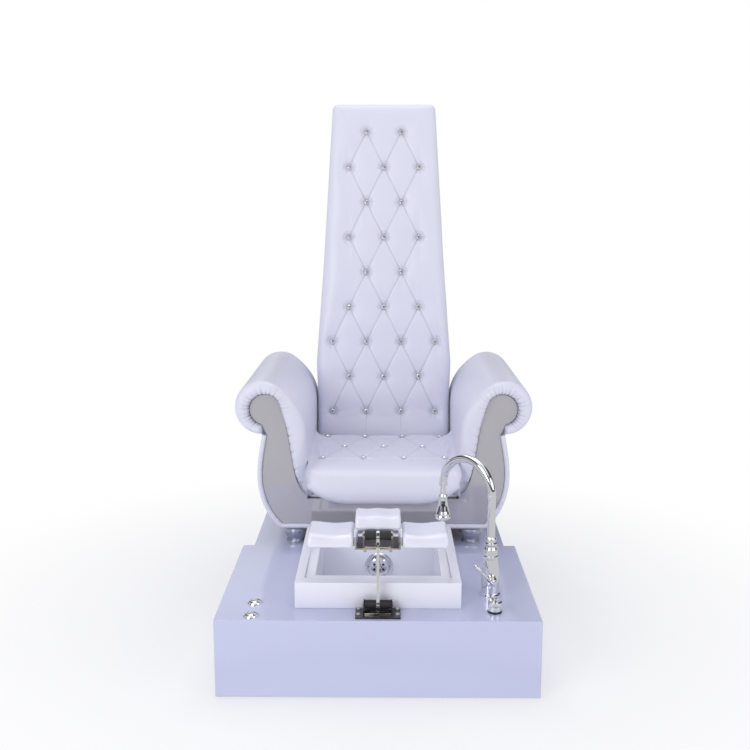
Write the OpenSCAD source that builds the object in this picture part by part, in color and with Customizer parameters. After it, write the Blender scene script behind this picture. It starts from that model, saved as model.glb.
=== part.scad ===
// Pedicure spa chair: a throne chair on a plinth, with a foot basin, footrest and pull-out spray tap.
// Origin on the floor, on the centre line, under the joint of the two plinths.
// -Y is the front, +Z is up, and +X is the tap's side, at the left hand of whoever sits in the chair.

/* [Plinths] */
// Width of the front plinth
plinth_w = 900; // [880:5:940]
// Length of the front plinth, front to back
front_len = 605; // [600:5:640]
// Height of the front deck above the floor
front_h = 227; // [220:1:240]
// Width of the rear plinth under the chair
rear_w = 838; // [820:2:860]
// Length of the rear plinth
rear_len = 790; // [780:5:830]
// Height of the rear deck above the floor
rear_h = 212; // [205:1:214]
// Thickness of the moulded plinth shells
shell_t = 6; // [5:0.5:7]
// Section of the timber bearers inside the plinths
bearer = 30; // [28:1:32]

/* [Basin] */
// Outer width of the basin rim
basin_w = 468; // [460:2:480]
// Outer length of the basin rim
basin_len = 490; // [480:2:495]
// Height of the basin rim above the deck
rim_h = 76; // [70:1:84]
// Width of the rim at the sides and back
rim_side = 54; // [50:1:58]
// Width of the rim at the front
rim_front = 73; // [68:1:78]
// Height of the basin floor above the room floor
basin_floor_z = 112; // [110:1:118]
// Radius of the jet cover on the basin's back wall
jet_r = 45; // [40:1:48]
// Height of the jet centre above the room floor
jet_z = 187; // [184:1:190]

/* [Tap] */
// Tap centre, across from the centre line
tap_x = 325; // [315:1:335]
// Tap centre, behind the front face of the plinth
tap_back = 194; // [185:1:205]
// Radius of the spout tube
tube_r = 12; // [11:0.5:13]
// Radius of the gooseneck's centre line
arch_r = 93; // [88:1:96]
// Height of the top of the straight riser above the floor
arch_z = 521; // [510:1:530]
// Turn of the spout towards the back at rest
spout_turn = 45; // [40:1:50]

/* [Footrest] */
// Footrest hinge, behind the front face of the plinth
hinge_back = 62; // [60:1:64]
// Height of the lower hinge above the front deck
hinge_up = 23; // [22:1:26]
// Length of the post between its two hinges
post_len = 200; // [190:1:215]
// Width of each foot pad
pad_w = 126; // [120:1:130]

/* [Chair] */
// Offset of the chair to the tap side of the plinth's centre line
chair_dx = 14; // [10:1:18]
// Front face of the front board, behind the joint of the plinths
board_y = 71; // [68:1:76]
// Radius of the arm rolls
roll_r = 92; // [88:1:94]
// Half the distance between the centres of the arm rolls
roll_x = 400; // [396:1:404]
// Height of the centres of the arm rolls
roll_z = 684; // [680:1:690]
// Depth of the arms, front to back
arm_len = 655; // [640:5:660]
// Height of the seat's crown above the floor
seat_z = 486; // [482:1:490]
// Lean of the backrest
back_lean = 8.5; // [8:0.5:9]
// Length of the backrest above the seat
back_len = 1250; // [1200:10:1300]
// Distance between rows of buttons on the backrest
tuft_row = 132.5; // [125:0.5:135]
// Half the distance between buttons in a row of the backrest
tuft_half = 66; // [62:1:68]

/* [Hidden] */
$fn = 64;

gap = 0.5;
run = 0.05;
eps = 0.1;

// Plinth places
seam_y = bearer / 2 + gap + shell_t;
front_y = seam_y - front_len;
rear_y0 = seam_y + gap;
rear_y1 = rear_y0 + rear_len;
floor_gap = 3;
lev_h = 12;
bearer_top = lev_h + bearer;
half_front = plinth_w / 2;
half_rear = rear_w / 2;

// Basin places
basin_half = basin_w / 2;
basin_y0 = front_y + 84;
basin_y1 = basin_y0 + basin_len;
rim_z = front_h + rim_h;
skin = 6;
bowl_half = basin_half - rim_side;
bowl_y0 = basin_y0 + rim_front;
bowl_y1 = basin_y1 - rim_side;
seal_t = 1.5;
step_deep = 6;
drain_y = (bowl_y0 + bowl_y1) / 2;
strainer_hole_r = 22;
jet_hole_r = 27;

// Drain run
pipe_r = 20;
pipe_in_r = 17;
pipe_z = bearer_top + 2 + pipe_r;
drop_bend = 22;
sweep_bend = 60;
drain_x = -270;
outlet_len = 40;

// Tap places
tap_y = front_y + tap_back;
spout_dx = -2 * arch_r * cos(spout_turn);
spout_dy = 2 * arch_r * sin(spout_turn);
hub_z = front_h + 52;
collar_z = front_h + 149;
head_top = arch_z - 32;
head_len = 77;
hub_y0 = -34;
lever_turn = -45;
lever_pin_r = 2;
lever_pin_half = 14;
inlet_z = 70;
inlet_xs = [270, 340];
inlet_r = 10.5;

box_y = (rear_y0 + rear_y1) / 2 - 36;

// Valve and air buttons
valve_y = front_y + 65;
button_x = -350;
button_ys = [front_y + 31, front_y + 121];
button_r = 21;

// Footrest places
hinge_y = front_y + hinge_back;
hinge_z = front_h + hinge_up;
head_z = hinge_z + post_len;
plate_t = 5;
pin_r = 5;
cheek_x = 36.5;
cheek_t = 3.5;
post_half = 4;
post_dy = 10;
stop_half = cheek_x - 0.2;
tray_z = head_z - 29;
tray_y0 = hinge_y - 26;
tray_len = 100;
wing_z = tray_z - 3;
pad_gap = 5;
side_pad_x = pad_w / 2 + pad_gap;
screw_xs = [-54, 54];
screw_ys = [hinge_y - 28, hinge_y + 9];

// Chair places
chair_base = rear_h + 57;
board_t = 15;
board_back = board_y + board_t;
arm_y0 = board_y - 25;
arm_y1 = board_y + arm_len;
arm_inner = 252;
piping_w = 17;
base_t = 18;
base_top = chair_base + 1 + base_t;
seat_bottom = 385;
feet_x = 297;
feet_ys = [board_y + 45, board_y + 599];
back_y = 566;
back_z0 = 480;
cushion_t = 90;
back_frame_t = 27;

// Points on a cubic curve from p[0] to p[3]
function curve(p, n) = [for (i = [0 : n]) let (t = i / n, s = 1 - t)
    s * s * s * p[0] + 3 * s * s * t * p[1] + 3 * s * t * t * p[2] + t * t * t * p[3]];

// Points moved sideways by d from a cubic curve, to its left
function side_curve(p, n, d) = [for (i = [0 : n]) let (t = i / n, s = 1 - t,
    at = s * s * s * p[0] + 3 * s * s * t * p[1] + 3 * s * t * t * p[2] + t * t * t * p[3],
    v = s * s * (p[1] - p[0]) + 2 * s * t * (p[2] - p[1]) + t * t * (p[3] - p[2]))
    at + d * [-v[1], v[0]] / norm(v)];

function flip(points) = [for (i = [len(points) - 1 : -1 : 0]) points[i]];

// Outer edge of the lyre-shaped chair front, from under the arm roll to the foot of the board
lyre = [[roll_x + 2, roll_z - 92], [roll_x + 16, roll_z - 174], [roll_x + 55, roll_z - 306],
    [roll_x - 54, chair_base]];
// Inner edge of the board, from its head inside the roll down to the seat
neck = [[roll_x - 62, roll_z - 8], [roll_x - 100, roll_z - 94], [roll_x - 88, roll_z - 284],
    [roll_x - 147, roll_z - 299]];
// Inner shoulder of the arm, from the roll down to its flat inner face
shoulder = [[roll_x - 50, roll_z + 77], [roll_x - 96, roll_z + 47], [arm_inner, roll_z - 14],
    [arm_inner, roll_z - 84]];
curve_n = 14;
board_head = [roll_x - 10, roll_z - 8];
board_head_r = 52;

// Half widths of the backrest at heights above the seat
back_half = [[-78, 249.5], [0, 249.5], [120, 250.5], [270, 257], [660, 229], [back_len, 195]];

// Button places on the backrest, across and up from the seat, in staggered rows
function tuft_xs(row) = row % 2 == 1 ? [-2 * tuft_half, 0, 2 * tuft_half]
    : (row < 3 ? [-3 * tuft_half + 3, -tuft_half, tuft_half, 3 * tuft_half - 3] : [-tuft_half, tuft_half]);
back_tufts = [for (row = [0 : 8]) for (x = tuft_xs(row)) [x, 84 + row * tuft_row]];
// Button places on the seat, across and back
seat_half = 70;
seat_tufts = concat([for (k = [-3 : 2 : 3]) [k * seat_half, 206]],
    [for (k = [-2 : 2 : 2]) [k * seat_half, 366]],
    [for (k = [-3 : 2 : 3]) [k * seat_half, 520]]);
button_base = 14;
seat_button_base = 8;
tuft_pocket_r = 13;

// Screw places on the service panel, across and up
function service_holes() = [for (x = [-175, 0, 175]) for (z = [45, 175]) [x, z]];

// Places of the levelling feet
function foot_spots() = concat([for (s = [-1, 1]) for (y = [front_y + 50, -6]) [s * (half_front - 32), y]],
    [[0, 0]], [for (s = [-1, 1]) for (y = [rear_y0 + 60, rear_y1 - 50]) [s * (half_rear - 32), y]]);

// Outline of the back cushion, grown sideways by g
function back_outline(g) = concat([for (p = back_half) [p[1] + g, p[0]]],
    flip([for (p = back_half) [-p[1] - g, p[0]]]));

// Outline of the back's rear panel
function panel_outline() = concat([[246, -172]], [for (p = back_half) if (p[0] >= 0) [p[1] - 1, p[0]]],
    flip([for (p = back_half) if (p[0] >= 0) [1 - p[1], p[0]]]), [[-246, -172]]);

// Outline of the back's timber frame, grown by g
function frame_outline(g) = [[222 + g, -172], [222 + g, 0], [236 + g, 270], [206 + g, 660],
    [172 + g, back_len - 24 + g], [-172 - g, back_len - 24 + g], [-206 - g, 660], [-236 - g, 270],
    [-222 - g, 0], [-222 - g, -172]];

module block(x0, x1, y0, y1, z0, z1) {
    translate([x0, y0, z0]) cube([x1 - x0, y1 - y0, z1 - z0]);
}

module rod_x(x0, x1, y, z, r) {
    translate([x0, y, z]) rotate([0, 90, 0]) cylinder(r = r, h = x1 - x0);
}

module rod_y(x, y0, y1, z, r) {
    translate([x, y0, z]) rotate([-90, 0, 0]) cylinder(r = r, h = y1 - y0);
}

module rod_z(x, y, z0, z1, r) {
    translate([x, y, z0]) cylinder(r = r, h = z1 - z0);
}

// A flat outline drawn in X and Z, standing from y0 to y1
module upright(y0, y1) {
    translate([0, y1, 0]) rotate([90, 0, 0]) linear_extrude(height = y1 - y0) children();
}

// A flat outline drawn in Y and Z, running from x0 to x1
module upright_x(x0, x1) {
    translate([x0, 0, 0]) rotate([90, 0, 90]) linear_extrude(height = x1 - x0) children();
}

// A bent hose or cable through a list of points
module hose(points, r) {
    for (i = [0 : len(points) - 2])
        hull() {
            translate(points[i]) sphere(r = r, $fn = 16);
            translate(points[i + 1]) sphere(r = r, $fn = 16);
        }
}

module at_tap() {
    translate([tap_x, tap_y, 0]) children();
}

module at_spout() {
    translate([tap_x + spout_dx, tap_y + spout_dy, 0]) children();
}

module at_chair() {
    translate([chair_dx, 0, 0]) children();
}

// The backrest's own frame: X across, Y into the back, Z up along it
module at_back() {
    translate([chair_dx, back_y, back_z0]) rotate([-back_lean, 0, 0]) children();
}

// ---------- Plinths ----------

module front_plinth_shell() {
    color("ghostwhite") difference() {
        block(-half_front, half_front, front_y, seam_y, floor_gap, front_h);
        block(-half_front + shell_t, half_front - shell_t, front_y + shell_t, seam_y - shell_t,
            floor_gap - 1, front_h - shell_t);
        block(-bowl_half - skin - 1, bowl_half + skin + 1, bowl_y0 - skin - 1, bowl_y1 + skin + 1,
            front_h - shell_t - 1, front_h + 1);
        block(-350, 350, seam_y - shell_t - 1, seam_y + 1, floor_gap - 1, 110);
        rod_z(tap_x, tap_y, front_h - shell_t - 1, front_h + 1, 17);
        rod_z(tap_x, valve_y, front_h - shell_t - 1, front_h + 1, 15);
        for (y = button_ys) rod_z(button_x, y, front_h - shell_t - 1, front_h + 1, 19);
        for (x = screw_xs) for (y = screw_ys) rod_z(x, y, front_h - shell_t - 1, front_h + 1, 3.2);
    }
}

module rear_plinth_shell() {
    color("ghostwhite") difference() {
        block(-half_rear, half_rear, rear_y0, rear_y1, floor_gap, rear_h);
        block(-half_rear + shell_t, half_rear - shell_t, rear_y0 - 1, rear_y1 - shell_t,
            floor_gap - 1, rear_h - shell_t);
        block(-160, 160, rear_y1 - shell_t - 1, rear_y1 + 1, 60, 160);
        for (p = service_holes()) rod_y(p[0], rear_y1 - shell_t - 1, rear_y1 + 1, p[1], 2.2);
        rod_y(drain_x, rear_y1 - shell_t - 1, rear_y1 + 1, pipe_z, pipe_r + 1);
        for (x = inlet_xs) rod_y(x, rear_y1 - shell_t - 1, rear_y1 + 1, inlet_z, inlet_r + 1);
        block(-374, -326, rear_y1 - shell_t - 1, rear_y1 + 1, 106, 134);
    }
}

module base_frame() {
    fx = half_front - shell_t - 1;
    fy = front_y + shell_t + 1;
    rx = half_rear - shell_t - 1;
    ry = rear_y1 - shell_t - 1;
    r0 = rear_y0 + 25;
    color("burlywood") difference() {
        union() {
            for (s = [-1, 1]) {
                translate([s * (fx - 25), 0, 0]) block(-25, 25, fy, bearer / 2, lev_h, bearer_top);
                for (y = [fy, -bearer / 2])
                    translate([s * (fx - bearer / 2), y, 0])
                        block(-bearer / 2, bearer / 2, 0, bearer, lev_h, front_h - shell_t);
                translate([s * (rx - 25), 0, 0]) block(-25, 25, r0, ry, lev_h, bearer_top);
                for (y = [r0, ry - bearer])
                    translate([s * (rx - bearer / 2), y, 0])
                        block(-bearer / 2, bearer / 2, 0, bearer, lev_h, rear_h - shell_t);
            }
            block(-fx, fx, fy, fy + bearer, lev_h, bearer_top);
            block(-fx, fx, -bearer / 2, bearer / 2, lev_h, bearer_top);
            for (y = [r0, (r0 + ry) / 2, ry - bearer]) block(-rx, rx, y, y + bearer, lev_h, bearer_top);
        }
        for (p = foot_spots()) rod_z(p[0], p[1], lev_h - 1, bearer_top - 6, 5);
    }
}

module levelling_feet() {
    color("dimgray") for (p = foot_spots()) {
        rod_z(p[0], p[1], 0, lev_h - 0.2, 20);
        rod_z(p[0], p[1], lev_h - 1, bearer_top - 9, 4.9);
    }
}

module service_panel() {
    color("ghostwhite") difference() {
        block(-190, 190, rear_y1, rear_y1 + 3, 32, 188);
        for (p = service_holes()) rod_y(p[0], rear_y1 - 1, rear_y1 + 4, p[1], 2.2);
        for (k = [-3 : 3]) block(k * 22 - 5, k * 22 + 5, rear_y1 - 1, rear_y1 + 4, 90, 130);
    }
}

module service_screws() {
    color("silver") for (p = service_holes()) {
        rod_y(p[0], rear_y1 - 10, rear_y1 + 3.1, p[1], 2);
        rod_y(p[0], rear_y1 + 3, rear_y1 + 5.5, p[1], 4.5);
    }
}

// ---------- Basin, jet and drain ----------

module foot_basin() {
    skirt_z = front_h + seal_t;
    top_t = 12;
    color("white") difference() {
        union() {
            difference() {
                block(-basin_half, basin_half, basin_y0, basin_y1, skirt_z, rim_z);
                block(-basin_half + skin, basin_half - skin, basin_y0 + skin, basin_y1 - skin,
                    skirt_z - 1, rim_z - top_t);
            }
            block(-bowl_half - skin, bowl_half + skin, bowl_y0 - skin, bowl_y1 + skin,
                basin_floor_z - skin, rim_z - eps);
        }
        block(-bowl_half, bowl_half, bowl_y0, bowl_y1, basin_floor_z, rim_z + 1);
        block(-bowl_half - rim_side / 2, bowl_half + rim_side / 2, bowl_y0 - rim_front / 2 + 2,
            bowl_y1 + rim_side / 2, rim_z - step_deep, rim_z + 1);
        rod_y(0, bowl_y1 - 1, bowl_y1 + skin + 1, jet_z, jet_hole_r);
        rod_z(0, drain_y, basin_floor_z - skin - 1, basin_floor_z + 1, strainer_hole_r);
    }
}

module basin_seal() {
    color("lightgray") difference() {
        block(-basin_half + 1, basin_half - 1, basin_y0 + 1, basin_y1 - 1, front_h, front_h + seal_t);
        block(-basin_half + skin - 1, basin_half - skin + 1, basin_y0 + skin - 1, basin_y1 - skin + 1,
            front_h - 1, front_h + seal_t + 1);
    }
}

// Revolved round the jet's axis, with the profile's height running towards the back
module jet_turned() {
    translate([0, 0, jet_z]) rotate([-90, 0, 0]) rotate_extrude() children();
}

// Turned by a round the jet's axis
module rotate_jet(a) {
    translate([0, 0, jet_z]) rotate([0, a, 0]) translate([0, 0, -jet_z]) children();
}

module jet_cover() {
    y = bowl_y1;
    color("silver") difference() {
        jet_turned() polygon([[0, y - 9], [26, y - 9], [30, y - 7], [jet_r - 6, y - 8], [jet_r - 2, y - 7],
            [jet_r, y - 4], [jet_r, y - 0.2], [26, y - 0.2], [26, y + 11], [23, y + 11], [23, y - 4],
            [0, y - 4]]);
        for (k = [0 : 5]) rotate_jet(k * 60 + 30) rod_y(16.5, y - 12, y, jet_z, 4.2);
        for (k = [0 : 5]) rotate_jet(k * 60) rod_y(9, y - 12, y, jet_z, 2.2);
        for (k = [0 : 5]) rotate_jet(k * 60) rod_y(34, y - 12, y + 1, jet_z, 3.2);
    }
}

module jet_housing() {
    y = bowl_y1 + skin + 0.2;
    color("dimgray") difference() {
        rod_y(0, y, y + 32, jet_z, 32);
        rod_y(0, y - 1, y + 28, jet_z, 28.5);
        rod_y(0, y + 26, y + 34, jet_z, 3 + run);
    }
}

module jet_impeller() {
    y = bowl_y1 + skin;
    color("gainsboro") {
        rod_y(0, y + 9, y + 25, jet_z, 8);
        rod_y(0, y + 24, y + 44, jet_z, 3);
        for (k = [0 : 5]) rotate_jet(k * 60) block(6, 24, y + 10, y + 23, jet_z - 1.5, jet_z + 1.5);
    }
}

module jet_motor() {
    y = bowl_y1 + skin + 33;
    color("darkslategray") difference() {
        rod_y(0, y, seam_y - shell_t - 6, jet_z, 31);
        rod_y(0, y - 1, y + 14, jet_z, 3 + run);
    }
}

module drain_strainer() {
    z = basin_floor_z;
    color("silver") difference() {
        union() {
            difference() {
                union() {
                    rod_z(0, drain_y, z, z + 2.5, 31);
                    rod_z(0, drain_y, 88, z + 1, strainer_hole_r - 1);
                }
                rod_z(0, drain_y, 80, z + 4, 18);
            }
            for (a = [0, 90]) translate([0, drain_y, 0]) rotate([0, 0, a]) block(-19, 19, -3, 3, 94, 98);
            rod_z(0, drain_y, 94, 98, 6);
        }
        rod_z(0, drain_y, 93, 99, 3 + run);
    }
}

module drain_plug() {
    z = basin_floor_z + 2.7;
    color("silver") translate([0, drain_y, 0]) rotate_extrude()
        polygon([[0, 89.5], [3, 89.5], [3, z - 4], [14, z - 1], [14, z], [25, z], [25, z + 2], [20, z + 4],
            [8, z + 5.2], [0, z + 5.5]]);
}

module drain_nut() {
    z1 = basin_floor_z - skin - 0.2;
    color("dimgray") difference() {
        translate([0, drain_y, z1 - 7]) cylinder(r = 32, h = 7, $fn = 8);
        rod_z(0, drain_y, z1 - 9, z1 + 1, strainer_hole_r - 1 + run);
    }
}

// One run of the drain, drawn with the tube's outer or inner radius
module drain_run(r, end) {
    translate([0, drain_y, 0]) {
        translate([0, 0, pipe_z + drop_bend]) cylinder(r = r, h = 2);
        translate([-drop_bend, 0, pipe_z + drop_bend]) rotate([90, 0, 0]) rotate([0, 0, -90])
            rotate_extrude(angle = 90) translate([drop_bend, 0]) circle(r = r);
        rod_x(drain_x + sweep_bend, -drop_bend, 0, pipe_z, r);
        translate([drain_x + sweep_bend, sweep_bend, pipe_z]) rotate([0, 0, 180])
            rotate_extrude(angle = 90) translate([sweep_bend, 0]) circle(r = r);
    }
    rod_y(drain_x, drain_y + sweep_bend, rear_y1 + outlet_len + end, pipe_z, r);
}

module drain_pipe() {
    z = pipe_z + drop_bend;
    color("gray") difference() {
        union() {
            drain_run(pipe_r, 0);
            rod_z(0, drain_y, z, z + 10, 24.5);
        }
        drain_run(pipe_in_r, 1);
        rod_z(0, drain_y, z + 1.5, z + 12, strainer_hole_r - 1 + 0.2);
    }
}

// ---------- Tap ----------

module tap_body() {
    h = front_h;
    c = collar_z;
    color("silver") at_tap() difference() {
        union() {
            rotate_extrude() polygon([[0, h], [29.5, h], [29.5, h + 3], [27, h + 6], [26, h + 8],
                [26, h + 24], [25.5, h + 60], [23.5, h + 85], [20.5, h + 107], [20.5, h + 110],
                [22, h + 112], [22, h + 118], [20, h + 120], [20.5, h + 128], [19.5, h + 138],
                [17, c - 4], [17, c], [0, c]]);
            translate([0, 0, 160]) cylinder(r = 16, h = h - 159);
            rod_y(0, hub_y0, 0, hub_z, 16);
            rod_y(0, -28.5, 0, hub_z - 29, 6);
        }
        translate([0, 0, c - 26]) cylinder(r = 10 + run, h = 30);
        translate([0, 0, 150]) cylinder(r = 8, h = 40);
    }
}

module tap_nut() {
    color("goldenrod") at_tap() difference() {
        translate([0, 0, front_h - shell_t - 12]) cylinder(r = 27, h = 11.8, $fn = 6);
        translate([0, 0, front_h - shell_t - 13]) cylinder(r = 16 + run, h = 14);
    }
}

module tap_spout() {
    c = collar_z;
    color("silver") at_tap() {
        difference() {
            union() {
                translate([0, 0, c - 24]) cylinder(r = 10, h = 26);
                rotate_extrude() polygon([[0, c + 0.2], [16.5, c + 0.2], [18, c + 3], [18, c + 7],
                    [15, c + 10],
                    [14.5, c + 18], [16, c + 20], [15, c + 23], [tube_r, c + 25], [0, c + 25]]);
                translate([0, 0, c + 24]) cylinder(r = tube_r, h = arch_z - c - 24);
                rotate([0, 0, 180 - spout_turn]) translate([arch_r, 0, arch_z]) rotate([90, 0, 0])
                    rotate_extrude(angle = 180) translate([arch_r, 0]) circle(r = tube_r);
                for (d = [[0, 0], [spout_dx, spout_dy]])
                    translate([d[0], d[1], arch_z - 5]) cylinder(r = tube_r + 0.7, h = 9);
                translate([spout_dx, spout_dy, head_top + 0.2]) cylinder(r = 8.5, h = 30);
            }
            translate([0, 0, c - 30]) cylinder(r = 7, h = arch_z - c + 30);
            rotate([0, 0, 180 - spout_turn]) translate([arch_r, 0, arch_z]) rotate([90, 0, 0])
                rotate_extrude(angle = 180) translate([arch_r, 0]) circle(r = 9.5);
            translate([spout_dx, spout_dy, head_top - 1]) cylinder(r = 4.6, h = 34);
        }
    }
}

module spray_head() {
    b = head_top - head_len;
    color("silver") at_spout() difference() {
        union() {
            rotate_extrude() polygon([[0, b + 3], [17, b + 3], [17, b], [21, b], [23, b + 3], [23, b + 9],
                [21, b + 13], [21.5, b + 17], [19, b + 26], [15.5, b + 42], [13, b + 58], [12.5, b + 64],
                [13.5, b + 66], [13.5, b + 71], [11.5, head_top], [0, head_top]]);
            translate([0, 0, head_top - 1]) cylinder(r = 4, h = 56);
        }
        rod_y(0, -30, -6, b + 46, 6 + run);
    }
}

module spray_button() {
    color("black") at_spout() rod_y(0, -17.5, -9, head_top - head_len + 46, 6);
}

module spray_face() {
    b = head_top - head_len;
    color("dimgray") at_spout() difference() {
        translate([0, 0, b + 0.4]) cylinder(r = 16.8, h = 2.4);
        for (k = [0 : 7]) rotate([0, 0, k * 45]) translate([11, 0, b]) cylinder(r = 1.6, h = 2);
        for (k = [0 : 3]) rotate([0, 0, k * 90 + 20]) translate([5, 0, b]) cylinder(r = 1.6, h = 2);
    }
}

// Turning cap on the side of the tap, with an open slot for the lever
module handle_hub() {
    y = hub_y0 - 0.2;
    color("silver") at_tap() difference() {
        translate([0, 0, hub_z]) rotate([-90, 0, 0]) rotate_extrude()
            polygon([[0, y - 20], [7, y - 19.5], [12, y - 17.5], [15.5, y - 13], [17, y - 7], [17, y - 3],
                [15, y], [0, y]]);
        translate([0, y - 9, hub_z]) sphere(r = 6.6);
        translate([0, 0, hub_z]) rotate([0, lever_turn, 0]) {
            block(-3.9, 3.9, y - 24, y - 5, 0, 20);
            rod_x(-22, 22, y - 9, 0, lever_pin_r + run);
        }
    }
}

module handle_lever() {
    y = hub_y0 - 9.2;
    color("silver") at_tap() translate([0, y, hub_z]) rotate([0, lever_turn, 0]) {
        rotate_extrude() polygon(concat([for (a = [-90 : 10 : 50]) [6 * cos(a), 6 * sin(a)]],
            [[3.4, 7], [3.2, 40], [4.2, 46], [6, 50], [6.6, 62], [5.5, 69], [2.5, 72], [0, 72.5]]));
        rod_x(-lever_pin_half, lever_pin_half, 0, 0, lever_pin_r);
    }
}

module water_inlets() {
    color("goldenrod") for (x = inlet_xs) difference() {
        union() {
            rod_y(x, rear_y1 - 40, rear_y1 + 24, inlet_z, inlet_r);
            rod_y(x, rear_y1 - shell_t - 6, rear_y1 - shell_t - 0.2, inlet_z, 14);
        }
        rod_y(x, rear_y1 - 41, rear_y1 + 25, inlet_z, 7.5);
    }
}

module supply_hoses() {
    color("silver") for (i = [0, 1]) let (x = inlet_xs[i], s = i == 0 ? -3.6 : 3.6)
        hose([[tap_x + s, tap_y, 156], [tap_x + s * 3.4, tap_y + 30, 95], [x, -40, 72],
            [x, rear_y1 - 41, inlet_z]], 3.5);
}

// ---------- Fill valve and air buttons ----------

module valve_body() {
    color("black") translate([tap_x, valve_y, 0]) difference() {
        union() {
            translate([0, 0, front_h]) cylinder(r = 20, h = 4);
            translate([0, 0, 178]) cylinder(r = 14, h = front_h - 177);
        }
        translate([0, 0, front_h - 28]) cylinder(r = 4 + run, h = 40);
    }
}

module valve_knob() {
    z = front_h + 4.2;
    color("silver") translate([tap_x, valve_y, 0]) {
        translate([0, 0, front_h - 25]) cylinder(r = 4, h = 30);
        difference() {
            rotate_extrude() polygon([[0, z], [18, z], [18.5, z + 2], [17.5, z + 14], [19, z + 17],
                [20, z + 20],
                [20, z + 27], [17, z + 30], [0, z + 31.5]]);
            for (k = [0 : 7])
                rotate([0, 0, k * 45 + 22.5]) translate([19, 0, z - 1]) cylinder(r = 2.2, h = 17);
        }
        for (k = [0 : 3]) rotate([0, 0, k * 90 + 45]) translate([18.5, 0, z + 19]) cylinder(r = 5.2, h = 8);
    }
}

module air_button_bodies() {
    z = front_h;
    color("silver") for (y = button_ys) translate([button_x, y, 0]) difference() {
        union() {
            rotate_extrude() polygon([[0, z], [button_r, z], [button_r, z + 2], [button_r - 1.5, z + 4.5],
                [button_r - 3, z + 5], [0, z + 5]]);
            translate([0, 0, z - 37]) cylinder(r = 18.5, h = 38);
        }
        translate([0, 0, z - 5]) cylinder(r = 17, h = 20, $fn = 48);
        translate([0, 0, z - 32]) cylinder(r = 6 + run, h = 40);
    }
}

module air_button(y) {
    z = front_h;
    color("silver") translate([button_x, y, 0]) {
        translate([0, 0, z - 26]) cylinder(r = 6, h = 27);
        difference() {
            rotate_extrude()
                polygon([[0, z], [16.6, z], [16.6, z + 5], [14.5, z + 7.5], [9, z + 9], [0, z + 9.5]]);
            for (a = [0, 60, 120]) rotate([0, 0, a + 15]) block(-18, 18, -0.8, 0.8, z + 6.5, z + 12);
        }
    }
}

module front_air_button() {
    air_button(button_ys[0]);
}

module rear_air_button() {
    air_button(button_ys[1]);
}

module air_tubes() {
    color("white") for (i = [0, 1])
        hose([[button_x, button_ys[i], front_h - 41], [button_x + i * 12, button_ys[i] + 60, 120],
            [button_x + 20 + i * 12, -40, 95], [-150 + i * 20, box_y - 60, 90],
            [-150 + i * 20, box_y - 4, 88]], 3);
}

module control_box() {
    color("dimgray") block(-180, -20, box_y, box_y + 140, bearer_top + 0.2, bearer_top + 70);
}

module power_inlet() {
    y = rear_y1;
    color("black") difference() {
        union() {
            block(-373.5, -326.5, y - 26, y + 1, 106.5, 133.5);
            block(-377, -323, y + 0.2, y + 3, 103, 137);
        }
        block(-362, -338, y - 16, y + 4, 112, 128);
    }
}

module wiring() {
    color("black") {
        hose([[-350, rear_y1 - 31, 120], [-330, 690, 100], [-120, box_y + 180, 100],
            [-120, box_y + 145, 90]], 4);
        hose([[0, 0, jet_z - 35], [0, 0, 100], [-60, box_y - 60, 80], [-60, box_y - 4, 80]], 3);
    }
}

// ---------- Footrest ----------

module footrest_base() {
    z = front_h;
    color([0.1, 0.1, 0.11]) difference() {
        union() {
            block(-62.5, 62.5, hinge_y - 50, hinge_y + 18, z, z + plate_t);
            for (s = [-1, 1]) translate([s * (cheek_x + cheek_t / 2), 0, 0]) {
                block(-cheek_t / 2, cheek_t / 2, hinge_y - 13, hinge_y + 13, z + 1, hinge_z);
                rod_x(-cheek_t / 2, cheek_t / 2, hinge_y, hinge_z, 13);
            }
        }
        rod_x(-50, 50, hinge_y, hinge_z, pin_r + run);
        for (x = screw_xs) for (y = screw_ys) rod_z(x, y, z - 1, z + plate_t + 1, 3.2);
    }
}

module footrest_screws() {
    z = front_h + plate_t;
    color("silver") for (x = screw_xs) for (y = screw_ys) translate([x, y, 0]) {
        translate([0, 0, z - 24]) cylinder(r = 3, h = 25);
        translate([0, 0, z + 0.1]) rotate_extrude()
            polygon([[0, 0], [6.5, 0], [6.5, 1.2], [5, 3], [2.6, 3.8], [2.2, 2.4], [0, 2.4]]);
    }
}

module hinge_pin(z) {
    edge = cheek_x + cheek_t + 0.2;
    color("silver") {
        rod_x(-edge - 1, edge + 1, hinge_y, z, pin_r);
        for (s = [-1, 1]) translate([s * (edge + 1.5), 0, 0]) rod_x(-1.5, 1.5, hinge_y, z, 7);
    }
}

module base_hinge_pin() {
    hinge_pin(hinge_z);
}

module head_hinge_pin() {
    hinge_pin(head_z);
}

module hinge_bushes(z, r) {
    color([0.08, 0.08, 0.09]) for (s = [-1, 1]) difference() {
        translate([s * 20.75, 0, 0]) rod_x(-15.5, 15.5, hinge_y, z, r);
        rod_x(-50, 50, hinge_y, z, pin_r + run);
    }
}

module base_hinge_bushes() {
    hinge_bushes(hinge_z, 11.5);
}

module head_hinge_bushes() {
    hinge_bushes(head_z, 12.5);
}

// Slotted plate that sets the rest angle, with its nut in the middle
module slotted_plate(y0, y1, z) {
    mid = (y0 + y1) / 2;
    color("silver") {
        difference() {
            block(-stop_half, stop_half, y0, y1, z, z + 4);
            for (s = [-1, 1]) translate([s * 19, 0, 0]) block(-12.5, 12.5, mid - 4, mid + 4, z - 1, z + 5);
        }
        translate([0, mid, z + 3.9]) cylinder(r = 5, h = 3.5, $fn = 6);
    }
}

module base_stop_plate() {
    slotted_plate(hinge_y - 33, hinge_y - post_dy - 0.5, front_h + plate_t + 0.1);
}

module head_stop_plate() {
    slotted_plate(tray_y0 + 2, hinge_y - post_dy - 1, tray_z + 0.1);
}

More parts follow.
